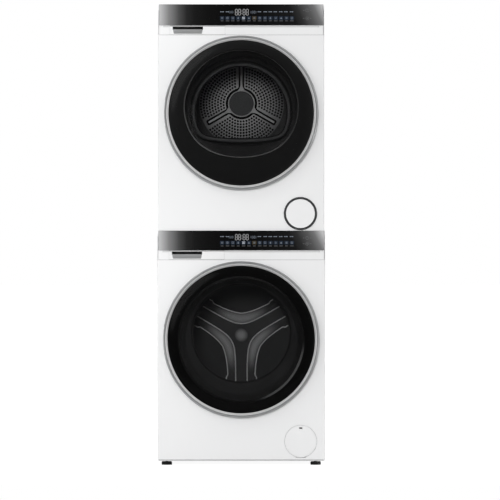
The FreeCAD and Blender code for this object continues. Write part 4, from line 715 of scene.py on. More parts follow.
def icon_dots(x, z, size):
    steps = [step * size * 0.3 for step in (-1, 0, 1)]
    return [dot(x + across, z + up, size * 0.1, 8) for across in steps for up in steps]


def icon_triangle(x, z, size):
    half = size * 0.45
    return [[[(x - half, z - half * 0.8), (x + half, z - half * 0.8), (x, z + half)]]]


ICONS = (icon_bars, icon_ring, icon_square, icon_drop, icon_dots, icon_triangle)


def tile_print(rows):
    """The programme tiles, their symbols and the caption bars under them."""
    tiles, icons, captions = [], [], []
    for index in range(TILE_COUNT):
        x = TILE_FIRST + TILE_PITCH * index
        tiles.append(bar(x, rows.tiles, TILE_WIDTH, TILE_HEIGHT, 1.5 * MM))
        icons.append(ICONS[index % len(ICONS)](x, rows.tiles, (11 if index == CHOSEN_TILE else 8) * MM))
        captions.append(bar(x, rows.captions, TILE_WIDTH * (0.8 if index % 3 else 0.62), 1.6 * MM))
    return tiles, icons, captions


def figure_print(rows):
    """Four figures with a colon in the middle."""
    height = rows.digit_high - rows.digit_low - 2 * MM
    middle = (rows.digit_low + rows.digit_high) / 2
    figures = [dot(2.2 * MM, middle + step * 4 * MM, 1.1 * MM) for step in (-1, 1)]
    for left in DIGIT_PLACES:
        figures += digit(left * MM, rows.digit_low + 1 * MM, height)
    return figures


def label_print(rows):
    """Bars that stand for words, and two short rows of strokes beside the figures."""
    labels = []
    for x, width in LABELS:
        for part, share in ((-0.3, 0.34), (0.22, 0.5)):
            labels.append(bar((x + part * width) * MM, rows.labels, share * width * MM, 3 * MM))
    middle = (rows.digit_low + rows.digit_high) / 2
    for step in range(5):
        longer = 3 * (step % 2)
        labels.append(bar((35 + step * 4.4) * MM, middle, 1.2 * MM, (8 + longer) * MM))
        labels.append(bar((-29 - step * 3.6) * MM, middle, 1.0 * MM, (7 + longer) * MM))
    return labels


def key_print(rows):
    """Two round touch keys, one with two strokes and one with a single stroke, between short bars."""
    keys = [bar(KEY_X * MM, rows.upper_key + 1.5 * MM, 1.1 * MM, 5 * MM)]
    keys += [bar((KEY_X + side * 1.6) * MM, rows.lower_key, 1.2 * MM, 5 * MM) for side in (-1, 1)]
    for z in (rows.lower_key, rows.upper_key):
        keys.append(loop_of(KEY_X * MM, z, 6.2 * MM, 0.8 * MM, 32))
        keys += [bar((KEY_X + side * 12.5) * MM, z, 5 * MM, 1.4 * MM) for side in (-1, 1)]
    return keys


def panel_print(machine, heights):
    """Programme tiles, a four-figure display, label bars and two touch keys, with no words.

    heights are those of the rows over the panel's lower edge, in millimetres.
    """
    rows = PanelRows(*(machine.panel_low + height * MM for height in heights))
    tiles, icons, captions = tile_print(rows)
    warm, chosen = tiles.pop(WARM_TILE), icons.pop(CHOSEN_TILE)
    layers = (
        ("tiles", tiles, PRINT_BLUE, 0),
        ("warm_tile", [warm], PRINT_AMBER, 0),
        ("symbols", [shape for icon in icons for shape in icon], PRINT_PALE, 1),
        ("chosen_symbol", chosen, PRINT_WHITE, 1),
        ("captions", captions, PRINT_GREY, 0),
        ("figures", figure_print(rows), PRINT_DIGIT, 0),
        ("labels", label_print(rows), PRINT_PALE, 0),
        ("touch_keys", key_print(rows), PRINT_GREY, 0),
    )
    for name, shapes, material, raised in layers:
        front = machine.panel_front - PRINT_DEPTH * (1 + raised)
        back = machine.panel_front + PRINT_DEPTH * (1 - 2 * raised)
        layer = plates(f"{machine.name}_display_{name}", shapes, front, back)
        dress(layer, material, "cabinets", "control_glass")


washer_rows = PanelRows(
    tiles=26.9, captions=15.4, digit_low=35.8, digit_high=57.8, labels=48.8, lower_key=23.3, upper_key=43.8
)
dryer_rows = PanelRows(
    tiles=25.6, captions=15.5, digit_low=35, digit_high=58, labels=48, lower_key=24.2, upper_key=53
)
panel_print(washer, washer_rows)
panel_print(dryer, dryer_rows)


# ---- the drawers' silver grips, and the edges round the panels and the washer's foot

GRIP_LEFT = 11 * MM
GRIP_WIDTH = 106 * MM
GRIP_STEPS = 24
GRIP_SLOT_TOP = 27.8 * MM
GRIP_SLOT_HEIGHT = 8.7 * MM
GRIP_ROWS = (
    (0, 3.8, 0), (0.5, 2.6, 0), (0.5, 0.2, 0), (-0.4, -1, 0), (-4.5, -1.9, 0.6), (-9.3, -1.7, 1.5),
    (-14.2, -0.7, 2.6), (-15, 0, 3.2),
)
SLOT_GAP = 0.25 * MM
SLOT_ROWS = ((-1.1, 0.2), (-1.1, -0.3), (0, -0.3), (0.1, 1.0), (0.3, 3.0), (0.6, 9.0), (3.9, 9.4))
RETURN_DEPTH = 4.6 * MM
RETURN_HEIGHT = 7 * MM
RETURN_END = 15 * MM
DRAWER_GAP = 0.4 * MM
JOINT_ROWS = ((0.4, 0), (-0.1, 0), (-0.2, 0.1), (-0.2, 0.6), (-0.1, 0.7), (0.4, 0.7))
HEM_ROWS = ((0.2, 0.1), (-0.2, 0.1), (-1.2, 4.0), (-1.1, 4.6), (-0.1, 6.0), (0.2, 6.0))


def grip(machine):
    """A silver lip, narrower at its foot, with a turned-in upper edge, below the finger slot that is lined in
    painted-shade black.

    Each row gives its height from the upper edge, its depth and its inset from both sides, in millimetres.
    """
    left = machine.drawer_left + GRIP_LEFT
    high = machine.strip_low + GRIP_SLOT_TOP - GRIP_SLOT_HEIGHT
    bm = bmesh.new()
    lines = []
    for rise, depth, inset in GRIP_ROWS:
        line = []
        for step in range(GRIP_STEPS + 1):
            share = step / GRIP_STEPS
            x = left + inset * MM + (GRIP_WIDTH - 2 * inset * MM) * share
            end = min(1.0, min(share, 1 - share) * 14) if depth < 0 else 1
            line.append(bm.verts.new((x, machine.front + depth * end * MM, high + rise * MM)))
        lines.append(line)
    bridge(bm, lines, around=False)
    lip = thicken(finished(bm, f"{machine.drawer}_silver_grip", 60), 0.4 * MM, 1)
    dress(lip, GRIP_SILVER, machine.drawer, "trim_plastic")


def slot_painted_shade_liner(machine):
    """A black lining in the finger slot, a painted shade for its dark inside. Each row gives its inset and
    its depth, in millimetres.
    """
    left = machine.drawer_left + GRIP_LEFT + SLOT_GAP
    right = left + GRIP_WIDTH - 2 * SLOT_GAP
    high = machine.strip_low + GRIP_SLOT_TOP - SLOT_GAP
    low = high - GRIP_SLOT_HEIGHT + 2 * SLOT_GAP
    sections = []
    for inset, depth in SLOT_ROWS:
        step = inset * MM
        loop = rectangle(left + step, right - step, low + step, high - step, 0.3 * MM, 2)
        sections.append([(x, machine.front + depth * MM, z) for x, z in loop])
    liner = thicken(loft(f"{machine.drawer}_slot_liner", sections, 40), 0.2 * MM, 1)
    dress(liner, BLACK_LINER_AND_PAINTED_SHADE, machine.drawer, "dark_plastic")


def return_profile(machine, high, low):
    """A slope that comes forward from the strip up to just under the control panel."""
    front = machine.front
    return [
        (front + 0.2 * MM, low),
        (front - 0.3 * MM, low),
        (front - RETURN_DEPTH * 0.55, (low + high) / 2),
        (front - RETURN_DEPTH, high - 0.3 * MM),
        (front - RETURN_DEPTH + 0.3 * MM, high),
        (front + 0.2 * MM, high),
    ]


def panel_return(machine):
    """The sloped return under the control panel, of which one stretch comes out with the drawer. Its grey, a
    copy of the white plastic, is a painted shadow under the panel, darker on the drawer's stretch.
    """
    left, right = machine.drawer_left, machine.drawer_right
    high = machine.panel_low - 0.3 * MM
    end = machine.panel_right - RETURN_END
    spans = [(-end, left - DRAWER_GAP), (right + DRAWER_GAP, end)]
    profile = return_profile(machine, high, high - RETURN_HEIGHT)
    fixed = drawn_across(f"{machine.name}_panel_return", spans, profile)
    dress(fixed, RETURN_PAINTED_SHADOW, "cabinets", "white_plastic")
    low = machine.strip_low + GRIP_SLOT_TOP + 1.2 * MM
    profile = return_profile(machine, machine.panel_low - 0.8 * MM, low)
    moving = drawn_across(f"{machine.drawer}_front_return", [(left, right)], profile)
    dress(moving, DRAWER_RETURN_PAINTED_SHADOW, machine.drawer, "white_plastic")


def strip_joint(machine):
    """The dark joint between the white strip and the front panel."""
    side = machine.panel_right - 2 * MM
    profile = placed(JOINT_ROWS, machine.front, machine.strip_low - 0.75 * MM)
    joint = drawn_across(f"{machine.name}_strip_joint", [(-side, side)], profile)
    dress(joint, SEAL_BLACK, "cabinets", "rubber")


def bottom_hem():
    """The folded hem along the foot of the washer's front panel, which looks down a little, in white paint
    darkened to grey as a painted shade along the foot.
    """
    low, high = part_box("washer_front_panel")
    side = high.x - 5 * MM
    hem = drawn_across("washer_bottom_hem", [(-side, side)], placed(HEM_ROWS, washer.front, low.z), 20)
    dress(hem, HEM_PAINTED_SHADE, "cabinets", "white_steel")


bottom_hem()
for machine in (washer, dryer):
    grip(machine)
    slot_painted_shade_liner(machine)
    panel_return(machine)
    strip_joint(machine)


# ---- washer drum

STAR_ARMS = (-90, 30, 150)
STAR_END = 166
STAR_SCALE = 1.05
STAR_DEPTH = 10 * MM
STAR_TURNS = 300
STAR_RINGS = 95
BEAD_SIDES = 6
WASHER_MOUTH = 198.5 * MM
SHELL_SKIN = 0.2 * MM
FRONT_WALL_ROWS = ((-0.2, 14.5), (-0.2, 5), (-5, 0.2), (-22, 1.2), (-30, 4.2), (-38, 3.8))
MOUTH_ROWS = ((5, 0.4), (1, 1.6), (0, 5), (2, 8))


def step_up(value, start, end):
    """Eases from 0 at start to 1 at end."""
    share = max(0.0, min(1.0, (value - start) / (end - start)))
    return share * share * (3 - 2 * share)


def inner_contour(along):
    """Half width of an arm's channel, in millimetres, at a place along it."""
    return 20 + 14.6 * math.exp(-(along - 20) / 25)


def outer_contour(along):
    """Half width of an arm, with a small step out near its end."""
    return 45.5 + 21 * math.exp(-(along - 38.5) / 45) + 5.5 * step_up(along, 139, 147)


def fold_into_arm(x, z):
    """Place along and beside the nearest of the three arms."""
    turn = math.degrees(math.atan2(z, x))
    offset = math.radians(min(((turn - arm + 180) % 360 - 180 for arm in STAR_ARMS), key=abs))
    reach = math.hypot(x, z)
    return reach * math.cos(offset), reach * abs(math.sin(offset))


def star_relief(x, z):
    """Height and painted light of the pressed three-armed star on the drum's back, in millimetres and 0 to 1.
    The painted light is a painted highlight on the ridges near the hub and on the boss, fading outward, and
    painted shade elsewhere.
    """
    along, beside = fold_into_arm(x, z)
    reach = math.hypot(x, z)
    inner, outer = inner_contour(along), outer_contour(along)
    end = STAR_END - 9 * step_up(beside, 24, 46)
    star = (1 - step_up(beside, outer - 1.2, outer + 1.2)) * (1 - step_up(along, end - 1.5, end + 1.5))
    channel = 1 - step_up(beside, inner - 1.4, inner + 1.4)
    share = max(0.0, min(1.0, (beside - inner) / max(outer - inner, 1)))
    ridge = math.sin(math.pi * share) ** 0.8 * (1 - channel) * star
    boss = max(0.0, 1 - (reach / 24) ** 2) ** 0.5
    height = -5 * star + 8.5 * ridge - 3 * channel * star + 9 * boss
    painted_light = 0.09 + 0.05 * star + 0.9 * ridge * (1 - step_up(reach, 58, 140)) + 0.9 * boss**2
    return height, min(painted_light, 1.0)


def relief_disc(name, centre, depth, radii):
    """A disc with the star's relief, made of rings of points. Each point keeps its painted light as an
    attribute.
    """
    bm = bmesh.new()
    painted_light_layer = bm.verts.layers.float.new("painted_light")
    rings = []
    for radius in radii:
        ring = []
        for x, z in ring_of_points(STAR_TURNS, radius):
            height, painted_light = star_relief(x / MM / STAR_SCALE, z / MM / STAR_SCALE)
            vertex = bm.verts.new((centre[0] + x, depth - height * MM, centre[1] + z))
            vertex[painted_light_layer] = painted_light
            ring.append(vertex)
        rings.append(ring)
    bridge(bm, rings)
    bm.faces.new(rings[0])
    return finished(bm, name, 60)


def painted_light_steel(name, dark, bright):
    """Pressed steel with painted light: dark as painted shade in its hollows and bright as painted highlight
    where the painted_light attribute is high.
    """
    finish = Finish(name, dark, 0.4, 0.25)
    finish.tint(finish.node("ShaderNodeAttribute", "Fac", {}, attribute_name="painted_light"), (0, dark), (1, bright))
    finish.gloss(finish.noise(0.003, 4, (1, 30, 1)), 0.3, 0.44)
    return finish.material


def washer_drum_back():
    """The drum's rear wall, with the three-armed star pressed into it."""
    radii = [(2 + 2.6 * index) * MM for index in range(STAR_RINGS)] + [washer.drum_radius - 0.5 * MM]
    plane = washer.drum_rear - STAR_DEPTH
    back = thicken(relief_disc("washer_drum_star_back", (0, washer.axis_z), plane, radii), 0.8 * MM)
    # The drum back's steel runs from dark to near white by the painted light of each point.
    steel = painted_light_steel("drum_star_painted_light_steel", (0.022, 0.022, 0.023), (0.5, 0.505, 0.51))
    dress(back, steel, "washer_drum", "steel", "washer_drum_back")


def perforated_shell(name, machine, front, rear, hole, columns, rows):
    """A drum's wall with staggered rows of round holes."""
    bm = bmesh.new()
    pitch = math.tau / columns
    height = (rear - front) / rows
    arc = pitch * machine.drum_radius
    radius = machine.drum_radius - SHELL_SKIN
    around = [(-1, -1), (0, -1), (1, -1), (1, 0), (1, 1), (0, 1), (-1, 1), (-1, 0)]
    for row in range(rows):
        for column in range(columns):
            square, circle = [], []
            for a, b in around:
                size = math.hypot(a, b)
                square.append((a * pitch / 2, b * height / 2))
                circle.append((a / size * hole / arc * pitch, b / size * hole))
            loops = []
            for loop in (square, circle):
                loops.append([])
                for across, back in loop:
                    turn = pitch * (column + 0.5 * (row % 2)) + across
                    place = (radius * math.cos(turn), front + height * (row + 0.5) + back)
                    loops[-1].append(bm.verts.new((*place, machine.axis_z + radius * math.sin(turn))))
            bridge(bm, loops)
    return finished(bm, name, 40)


def washer_drum_shell():
    """The perforated wall, the rolled front wall with its mouth, and the rim at the rear."""
    centre, steel = (0, washer.axis_z), FINISHES["steel"]
    radius, front, rear = washer.drum_radius, washer.drum_front, washer.drum_rear
    ends = (front + 14 * MM, rear - 12 * MM)
    wall = perforated_shell("washer_drum_perforated_shell", washer, *ends, hole=2 * MM, columns=84, rows=16)
    dress(thicken(wall, 0.8 * MM), steel, "washer_drum", "steel", "washer_drum_shell")
    profile = placed(FRONT_WALL_ROWS, radius, front) + placed(MOUTH_ROWS, WASHER_MOUTH, front)
    front_wall = lathe("washer_drum_front_wall", smoothed(profile, 4), centre, closed=False, angle=60)
    dress(thicken(front_wall, 0.6 * MM, 0), steel, "washer_drum", "steel")
    skirt = placed(((-0.2, -12.5), (-0.2, -0.4)), radius, rear)
    rim = lathe("washer_drum_rear_rim", skirt, centre, closed=False)
    dress(thicken(rim, 0.8 * MM), steel, "washer_drum", "steel")


def bead(name, paths, radius):
    """Slim round beads along open lines of (x, y, z) points."""
    bm = bmesh.new()
    for path in paths:
        points = [Vector(point) for point in path]
        rings = []
        for index, point in enumerate(points):
            going = (points[min(index + 1, len(points) - 1)] - points[max(index - 1, 0)]).normalized()
            across = going.cross(Vector((0, 1, 0))).normalized()
            upward = going.cross(across)
            ring = [point + across * x + upward * z for x, z in ring_of_points(BEAD_SIDES, radius)]
            rings.append([bm.verts.new(place) for place in ring])
        bridge(bm, rings)
        bm.faces.new(rings[0])
        bm.faces.new(rings[-1][::-1])
    return finished(bm, name, 75)


def star_beads():
    """The pressed edges that run from each arm into the next, on both sides of the crescents, in near-white
    steel as a painted highlight.
    """
    paths = []
    for contour, start, end in ((inner_contour, 20, STAR_END), (outer_contour, 38.5, STAR_END - 8)):
        places = [start + (end - start) * (index / 40) ** 1.3 for index in range(41)]
        for index, arm in enumerate(STAR_ARMS):
            line = []
            next_arm = STAR_ARMS[(index + 1) % len(STAR_ARMS)]
            for sign, direction, order in ((1, arm, reversed(places)), (-1, next_arm, places[1:])):
                side = [(along, sign * contour(along)) for along in order]
                for x, z in turned_about(side, direction, (0, 0)):
                    depth = washer.drum_rear - STAR_DEPTH - (max(star_relief(x, z)[0], -2) + 0.8) * MM
                    line.append((x * STAR_SCALE * MM, depth, washer.axis_z + z * STAR_SCALE * MM))
            paths.append(line)
    beads = bead("washer_drum_star_beads", paths, 2.3 * MM)
    dress(beads, metal("bead_painted_highlight_steel", (0.9, 0.905, 0.91), 0.35, metallic=0.25), "washer_drum", "steel")


GASKET_ROWS = (
    (0.6, 0.8, 0), (1, 7, 0), (6, 6.4, 4), (13, 9, 10), (19, 11, 15), (25, 14.5, 23), (26.5, 18, 24),
    (24.5, 21, 22), (18, 23.5, 16), (14, 27, 12), (18, 31, 15), (19, 35.5, 15), (12, 39, 9), (9, 45, 6),
    (10, 51, 5),
)
GASKET_LIP_ROWS = ((-23.6, 13.4), (-28, 12.6), (-31, 15), (-30.5, 20), (-26, 20))


def washer_gasket():
    """The door seal: folds from the front panel's round opening up to a mouth that sits higher.

    Each row of its folds gives the inset from the edge, the depth and the rise of a ring, in millimetres.
    """
    low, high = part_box("washer_gasket")
    last_row = (10, (high.y - low.y) / MM - 0.4, 5)
    sections = []
    for inset, depth, lift in smoothed((*GASKET_ROWS, last_row), 4):
        circle = ring_of_points(AROUND, high.x - inset * MM, (0, washer.door_z + lift * MM))
        sections.append([(x, low.y + depth * MM, z) for x, z in circle])
    seal = thicken(loft("washer_door_seal", sections, 80), 2.2 * MM, 0)
    dress(seal, SEAL_BLACK, "cabinets", "rubber", "washer_gasket")
    lip = rounded(placed(GASKET_LIP_ROWS, high.x, low.y), 1 * MM)
    mouth = lathe("washer_seal_lip", lip, (0, washer.door_z + 23 * MM), angle=60)
    dress(mouth, BLACK_LINER_AND_PAINTED_SHADE, "cabinets", "rubber")


washer_drum_back()
star_beads()
washer_drum_shell()
washer_gasket()


# ---- dryer drum and loading funnel

DRYER_ARMS = (90, 210, 330)
DRYER_CENTRE = (0, dryer.axis_z)
HUB_RADIUS = 49 * MM
PLATE_RADIUS = 156 * MM
CHANNEL_HALF = 10.5 * MM
BAR_START = 48 * MM
BAR_END = 140 * MM
HOLE_RADIUS = 4.0 * MM
HOLE_PITCH = 10.6 * MM
FIRST_HOLES = 66 * MM
HOLE_ROWS = 9
ROW_STEP = 10.5 * MM
HUB_DEPTH = 9 * MM
HUB_SEAT = 8.4
CAP_RADIUS = 45 * MM
RIPPLE_PITCH = 4.3 * MM
RIM_ROWS = ((45.4, HUB_SEAT), (45.4, 0.5), (46.6, -0.8), (48.4, -0.6), (49.6, 1), (49.6, HUB_SEAT))
DISH_ROWS = ((-1, 1.4), (4, 1), (10, -3), (22, -4), (60, -2))
DISH_EDGE_ROWS = ((-6, -0.5), (-1.6, -3))
SHELL_LIP_ROWS = ((-17.5, 4), (-17.4, 0.4), (-13, 0.2), (-3, 0.4), (-0.4, 3))
SHELL_BEAD_ROWS = ((-0.4, -12), (-2.4, -5), (-3.6, 0), (-2.4, 5), (-0.4, 12))
FUNNEL_OPENING = 211.2 * MM
FUNNEL_DEPTH = 66 * MM
FUNNEL_STEPS = 18
MOUTH_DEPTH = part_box("dryer_bulkhead")[0].y + 2 * MM
LIP_DEPTH = MOUTH_DEPTH + 13 * MM


def channel_outline():
    """The outline of the hub's recess and its three channels."""
    wide = HUB_RADIUS + 9 * MM
    end = BAR_END + 6 * MM
    side = math.asin(CHANNEL_HALF / wide)
    root = wide * math.cos(side)
    gap = math.tau / 3 - 2 * side
    spoke = [(root, -CHANNEL_HALF), (end, -CHANNEL_HALF), (end, CHANNEL_HALF), (root, CHANNEL_HALF)]
    bends = (12 * MM, 6 * MM, 6 * MM, 12 * MM)
    points = []
    for arm in DRYER_ARMS:
        points += [(x, z, bend) for (x, z), bend in zip(turned_about(spoke, arm, DRYER_CENTRE), bends)]
        arc = [math.radians(arm) + side + gap * index / 9 for index in range(1, 9)]
        points += [(wide * math.cos(turn), DRYER_CENTRE[1] + wide * math.sin(turn)) for turn in arc]
    return rounded(points, 1 * MM)


def clear_of_channels(x, z):
    """Whether a hole at this place, seen from the hub, keeps away from the three channels."""
    for arm in DRYER_ARMS:
        turn = math.radians(arm)
        along = x * math.cos(turn) + z * math.sin(turn)
        beside = abs(z * math.cos(turn) - x * math.sin(turn))
        if 0 < along < BAR_END + 12 * MM and beside < CHANNEL_HALF + HOLE_RADIUS + 1.2 * MM:
            return False
    return True


def dryer_perforated_back():
    """The perforated sheet behind the hub and bars, and the dished ring from it out to the drum's wall."""
    front = dryer.drum_rear - 3 * MM
    holes = []
    for row in range(HOLE_ROWS):
        radius = FIRST_HOLES + ROW_STEP * row
        count = round(math.tau * radius / HOLE_PITCH / 3) * 3
        for index in range(count):
            turn = math.tau * (index + 0.5 * (row % 2)) / count
            x, z = radius * math.cos(turn), radius * math.sin(turn)
            if clear_of_channels(x, z):
                holes.append(ring_of_points(12, HOLE_RADIUS, (x, DRYER_CENTRE[1] + z)))
    shape = [ring_of_points(AROUND, PLATE_RADIUS, DRYER_CENTRE), channel_outline(), *holes]
    sheet = plates("dryer_drum_perforated_back", [shape], front, front + 1.2 * MM, 0.3 * MM)
    dress(sheet, painted_light_fade_steel(), "dryer_drum", "steel")
    dish = placed(DISH_ROWS, PLATE_RADIUS, front) + placed(DISH_EDGE_ROWS, dryer.drum_radius, front)
    annulus = lathe("dryer_drum_back_dish", smoothed(dish, 5), DRYER_CENTRE, closed=False, angle=60)
    steel = metal("dish_steel", (0.09, 0.091, 0.092), 0.42, metallic=0.4)
    dress(thicken(annulus, 0.6 * MM, 0), steel, "dryer_drum", "steel")


def painted_light_fade_steel():
    """The perforated sheet's steel with painted light: near white by the hub as a painted highlight,
    darkening outward as painted shade.
    """
    finish = Finish("perforated_steel_painted_light", grey(0.7), 0.4, 0.3)
    offset = (0, 0, -dryer.axis_z)
    centred = finish.node("ShaderNodeMapping", "Vector", {"Vector": finish.place, "Location": offset})
    flat = finish.node("ShaderNodeVectorMath", "Vector", {0: centred, 1: (1, 0, 1)}, operation="MULTIPLY")
    reach = finish.node("ShaderNodeVectorMath", "Value", {0: flat}, operation="LENGTH")
    stops = (0, (0.97, 0.975, 0.98)), (0.55, (0.6, 0.604, 0.608)), (1, (0.24, 0.242, 0.245))
    finish.tint(finish.mapped(reach, (HUB_RADIUS, PLATE_RADIUS)), *stops)
    finish.gloss(finish.noise(0.004, 4), 0.34, 0.46)
    return finish.material


def dryer_hub():
    """The round hub cap with its fine rings, the rim round it, and three bars that flare into the rim."""
    face = dryer.drum_rear - HUB_DEPTH
    seat = face + HUB_SEAT * MM
    profile = [(0, face - 1.2 * MM)]
    for index in range(1, 61):
        radius = 0.72 * MM * index
        ripple = 0.45 * math.cos(math.tau * radius / RIPPLE_PITCH)
        profile.append((radius, face + (ripple - 1 + (radius / CAP_RADIUS) ** 2) * MM))
    profile += placed(((44.6, 1.4), (44.6, HUB_SEAT), (0, HUB_SEAT)), 0, face)
    cap = lathe("dryer_drum_hub_cap", profile, DRYER_CENTRE, closed=False, angle=40)
    dress(cap, moulded("hub_grey_plastic", (0.11, 0.112, 0.115), 0.4), "dryer_drum", "grey_plastic")
    rim = lathe("dryer_drum_hub_rim", rounded(placed(RIM_ROWS, 0, face), 0.6 * MM), DRYER_CENTRE, angle=40)
    dress(rim, metal("hub_bright_steel", (0.85, 0.855, 0.86), 0.32, metallic=0.3), "dryer_drum", "steel")
    side = [(BAR_START - 3 * MM, -15 * MM)]
    for index in range(9):
        share = index / 8
        side.append((BAR_START + 26 * MM * share, -(3.7 + 9.5 * (1 - share) ** 2.6) * MM))
    side.append((BAR_END - 2 * MM, -3.4 * MM))
    outline = side + [(BAR_END, 0)] + [(x, -z) for x, z in reversed(side)]
    bars = [[turned_about(outline, arm, DRYER_CENTRE)] for arm in DRYER_ARMS]
    spokes = plates("dryer_drum_bars", bars, face + 0.4 * MM, seat, 1.2 * MM)
    dress(spokes, metal("bar_bright_steel", (0.9, 0.905, 0.91), 0.36, metallic=0.3), "dryer_drum", "steel")


def dryer_shell():
    """The drum's wall with three rolled beads and a rolled front lip."""
    radius, front, rear = dryer.drum_radius, dryer.drum_front, dryer.drum_rear
    line = placed(SHELL_LIP_ROWS, radius, front)
    for share in (0.18, 0.5, 0.82):
        line += placed(SHELL_BEAD_ROWS, radius, front + (rear - front) * share)
    line += placed(((-0.4, -0.3),), radius, rear)
    shell = lathe("dryer_drum_beaded_shell", smoothed(line, 3), DRYER_CENTRE, closed=False, angle=60)
    dress(thicken(shell, 0.6 * MM), FINISHES["steel"], "dryer_drum", "steel", "dryer_drum_shell")


def loading_outline(grow=0.0):
    """The D-shaped loading opening, moved out by grow."""
    return d_outline(176 * MM, dryer.door_z + 6 * MM, dryer.door_z - 101 * MM, 13, 900 * MM, grow)


def dryer_funnel():
    """The dark funnel from the front panel's opening in to the D-shaped loading opening."""
    circle = ring_of_points(AROUND, FUNNEL_OPENING, (0, dryer.door_z))
    start = MOUTH_DEPTH - FUNNEL_DEPTH
    sections = [[(x, start - 6 * MM, z) for x, z in circle]]
    for index in range(FUNNEL_STEPS + 1):
        share = index / FUNNEL_STEPS
        y = start + FUNNEL_DEPTH * (1 - (1 - share) ** 1.35)
        sections.append([(x, y, z) for x, z in between(circle, loading_outline(), share**2.4)])
    funnel = thicken(loft("dryer_loading_funnel", sections, 60), 1.6 * MM, 1)
    dress(funnel, moulded("funnel_black", (0.02, 0.02, 0.0205), 0.42), "cabinets", "dark_plastic")


def loading_ring(name, rows, depth, material, slot):
    """A closed ring along the loading opening. Each row says how far out and how far back, in millimetres."""
    sections = []
    for grow, back in rows:
        sections.append([(x, depth + back * MM, z) for x, z in loading_outline(grow * MM)])
    dress(loft(name, sections, 50, closed=True), material, "cabinets", slot)


def dryer_opening():
    """The rolled lip round the bulkhead's opening, its soft inner edge, and the black seal in front."""
    rows = ((4, 0), (1.2, -1.4), (-6.5, -1.2), (-9, 0.6), (-9.4, 3), (-8, 3.6), (4, 3))
    lip_grey = moulded("lip_grey", (0.07, 0.071, 0.073), 0.45)
    loading_ring("dryer_loading_lip", rows, LIP_DEPTH, lip_grey, "grey_plastic")
    rows = ((-8.6, 3.8), (-9.6, 2.6), (-12.8, 3.4), (-13.6, 6), (-12.6, 8), (-9, 7))
    loading_ring("dryer_loading_inner_edge", rows, LIP_DEPTH, BLACK_LINER_AND_PAINTED_SHADE, "rubber")
    rows = ((9.5, 0), (9, -5), (5, -6.2), (2.2, -5), (1.2, -1))
    loading_ring("dryer_loading_seal", rows, MOUTH_DEPTH, BLACK_LINER_AND_PAINTED_SHADE, "rubber")


dryer_perforated_back()
dryer_hub()
dryer_shell()
dryer_funnel()
dryer_opening()


# ---- the rear panels

ROUND_STEPS = 8
BEAD_RISE = 4.2 * MM
SHEET_SINK = 0.2 * MM
SCREW_RADIUS = 4.6 * MM
SCREW_ROWS = ((1.0, 0), (1.0, 0.9), (0.9, 1.6), (0.66, 2.1), (0.5, 2.2))
SCREW_TURNS = (20, 110, 200, 290)
SCREW_INSET = 14 * MM
SIDE_SCREWS = 6
SIDE_SCREW_MARGIN = 30 * MM
END_SCREW_PLACES = (-140 * MM, 0, 140 * MM)
CHANNEL_ROWS = ((0, 0), (2.5, 0.62), (5.5, 1.0), (8.5, 1.0), (11.5, 0.62), (14, 0))
CROWN_ROWS = ((0, 0), (2.2, 0.6), (4.6, 0.94), (6.2, 1.0))
FRAME_HALF_WIDTH = 232 * MM
FRAME_CORNER = 45 * MM
REAR_HUB_RADIUS = 118 * MM
BAR_WIDTH = 14 * MM
BAR_LENGTH = 300 * MM
UPRIGHT_LENGTH = 240 * MM
UPRIGHT_PLACES = (-175 * MM, 175 * MM)
LOUVRE_COLUMNS = (-130 * MM, -40 * MM, 50 * MM)
LOUVRE_LOWEST = 905 * MM
LOUVRE_PITCH = 25 * MM
LOUVRE_ROWS = 6
LOUVRE_LENGTH = 72 * MM
LOUVRE_HEIGHT = 13 * MM
LOUVRE_STEPS = (24, 6)


def stadium(x, z, length, height):
    """The outline of a flat bar with round ends."""
    radius = height / 2
    reach = length / 2 - radius
    points = []
    for centre, start in ((reach, -90), (-reach, 90)):
        for index in range(ROUND_STEPS + 1):
            turn = math.radians(start + 180 * index / ROUND_STEPS)
            points.append((x + centre + radius * math.cos(turn), z + radius * math.sin(turn)))
    return points


def pressings(name, sheet, frames, bars):
    """Beads pressed out of a rear sheet: frames are rounded channels along a loop, bars are filled ones.

    Each row gives the inset from the outline, in millimetres, and its share of the bead's rise.
    """
    bm = bmesh.new()
    for outlines, rows, filled in ((frames, CHANNEL_ROWS, False), (bars, CROWN_ROWS, True)):
        for outline in outlines:
            loop = turned_left(outline)
            rings = []
            for inset, rise in rows:
                y = sheet - SHEET_SINK + rise * (BEAD_RISE + SHEET_SINK)
                rings.append([bm.verts.new((x, y, z)) for x, z in moved_in(loop, inset * MM)])
            bridge(bm, rings, closed=not filled)
            if filled:
                bm.faces.new(rings[0])
                bm.faces.new(rings[-1])
    dress(finished(bm, name, 50), FINISHES["zinc_steel"], "cabinets", "zinc_steel")


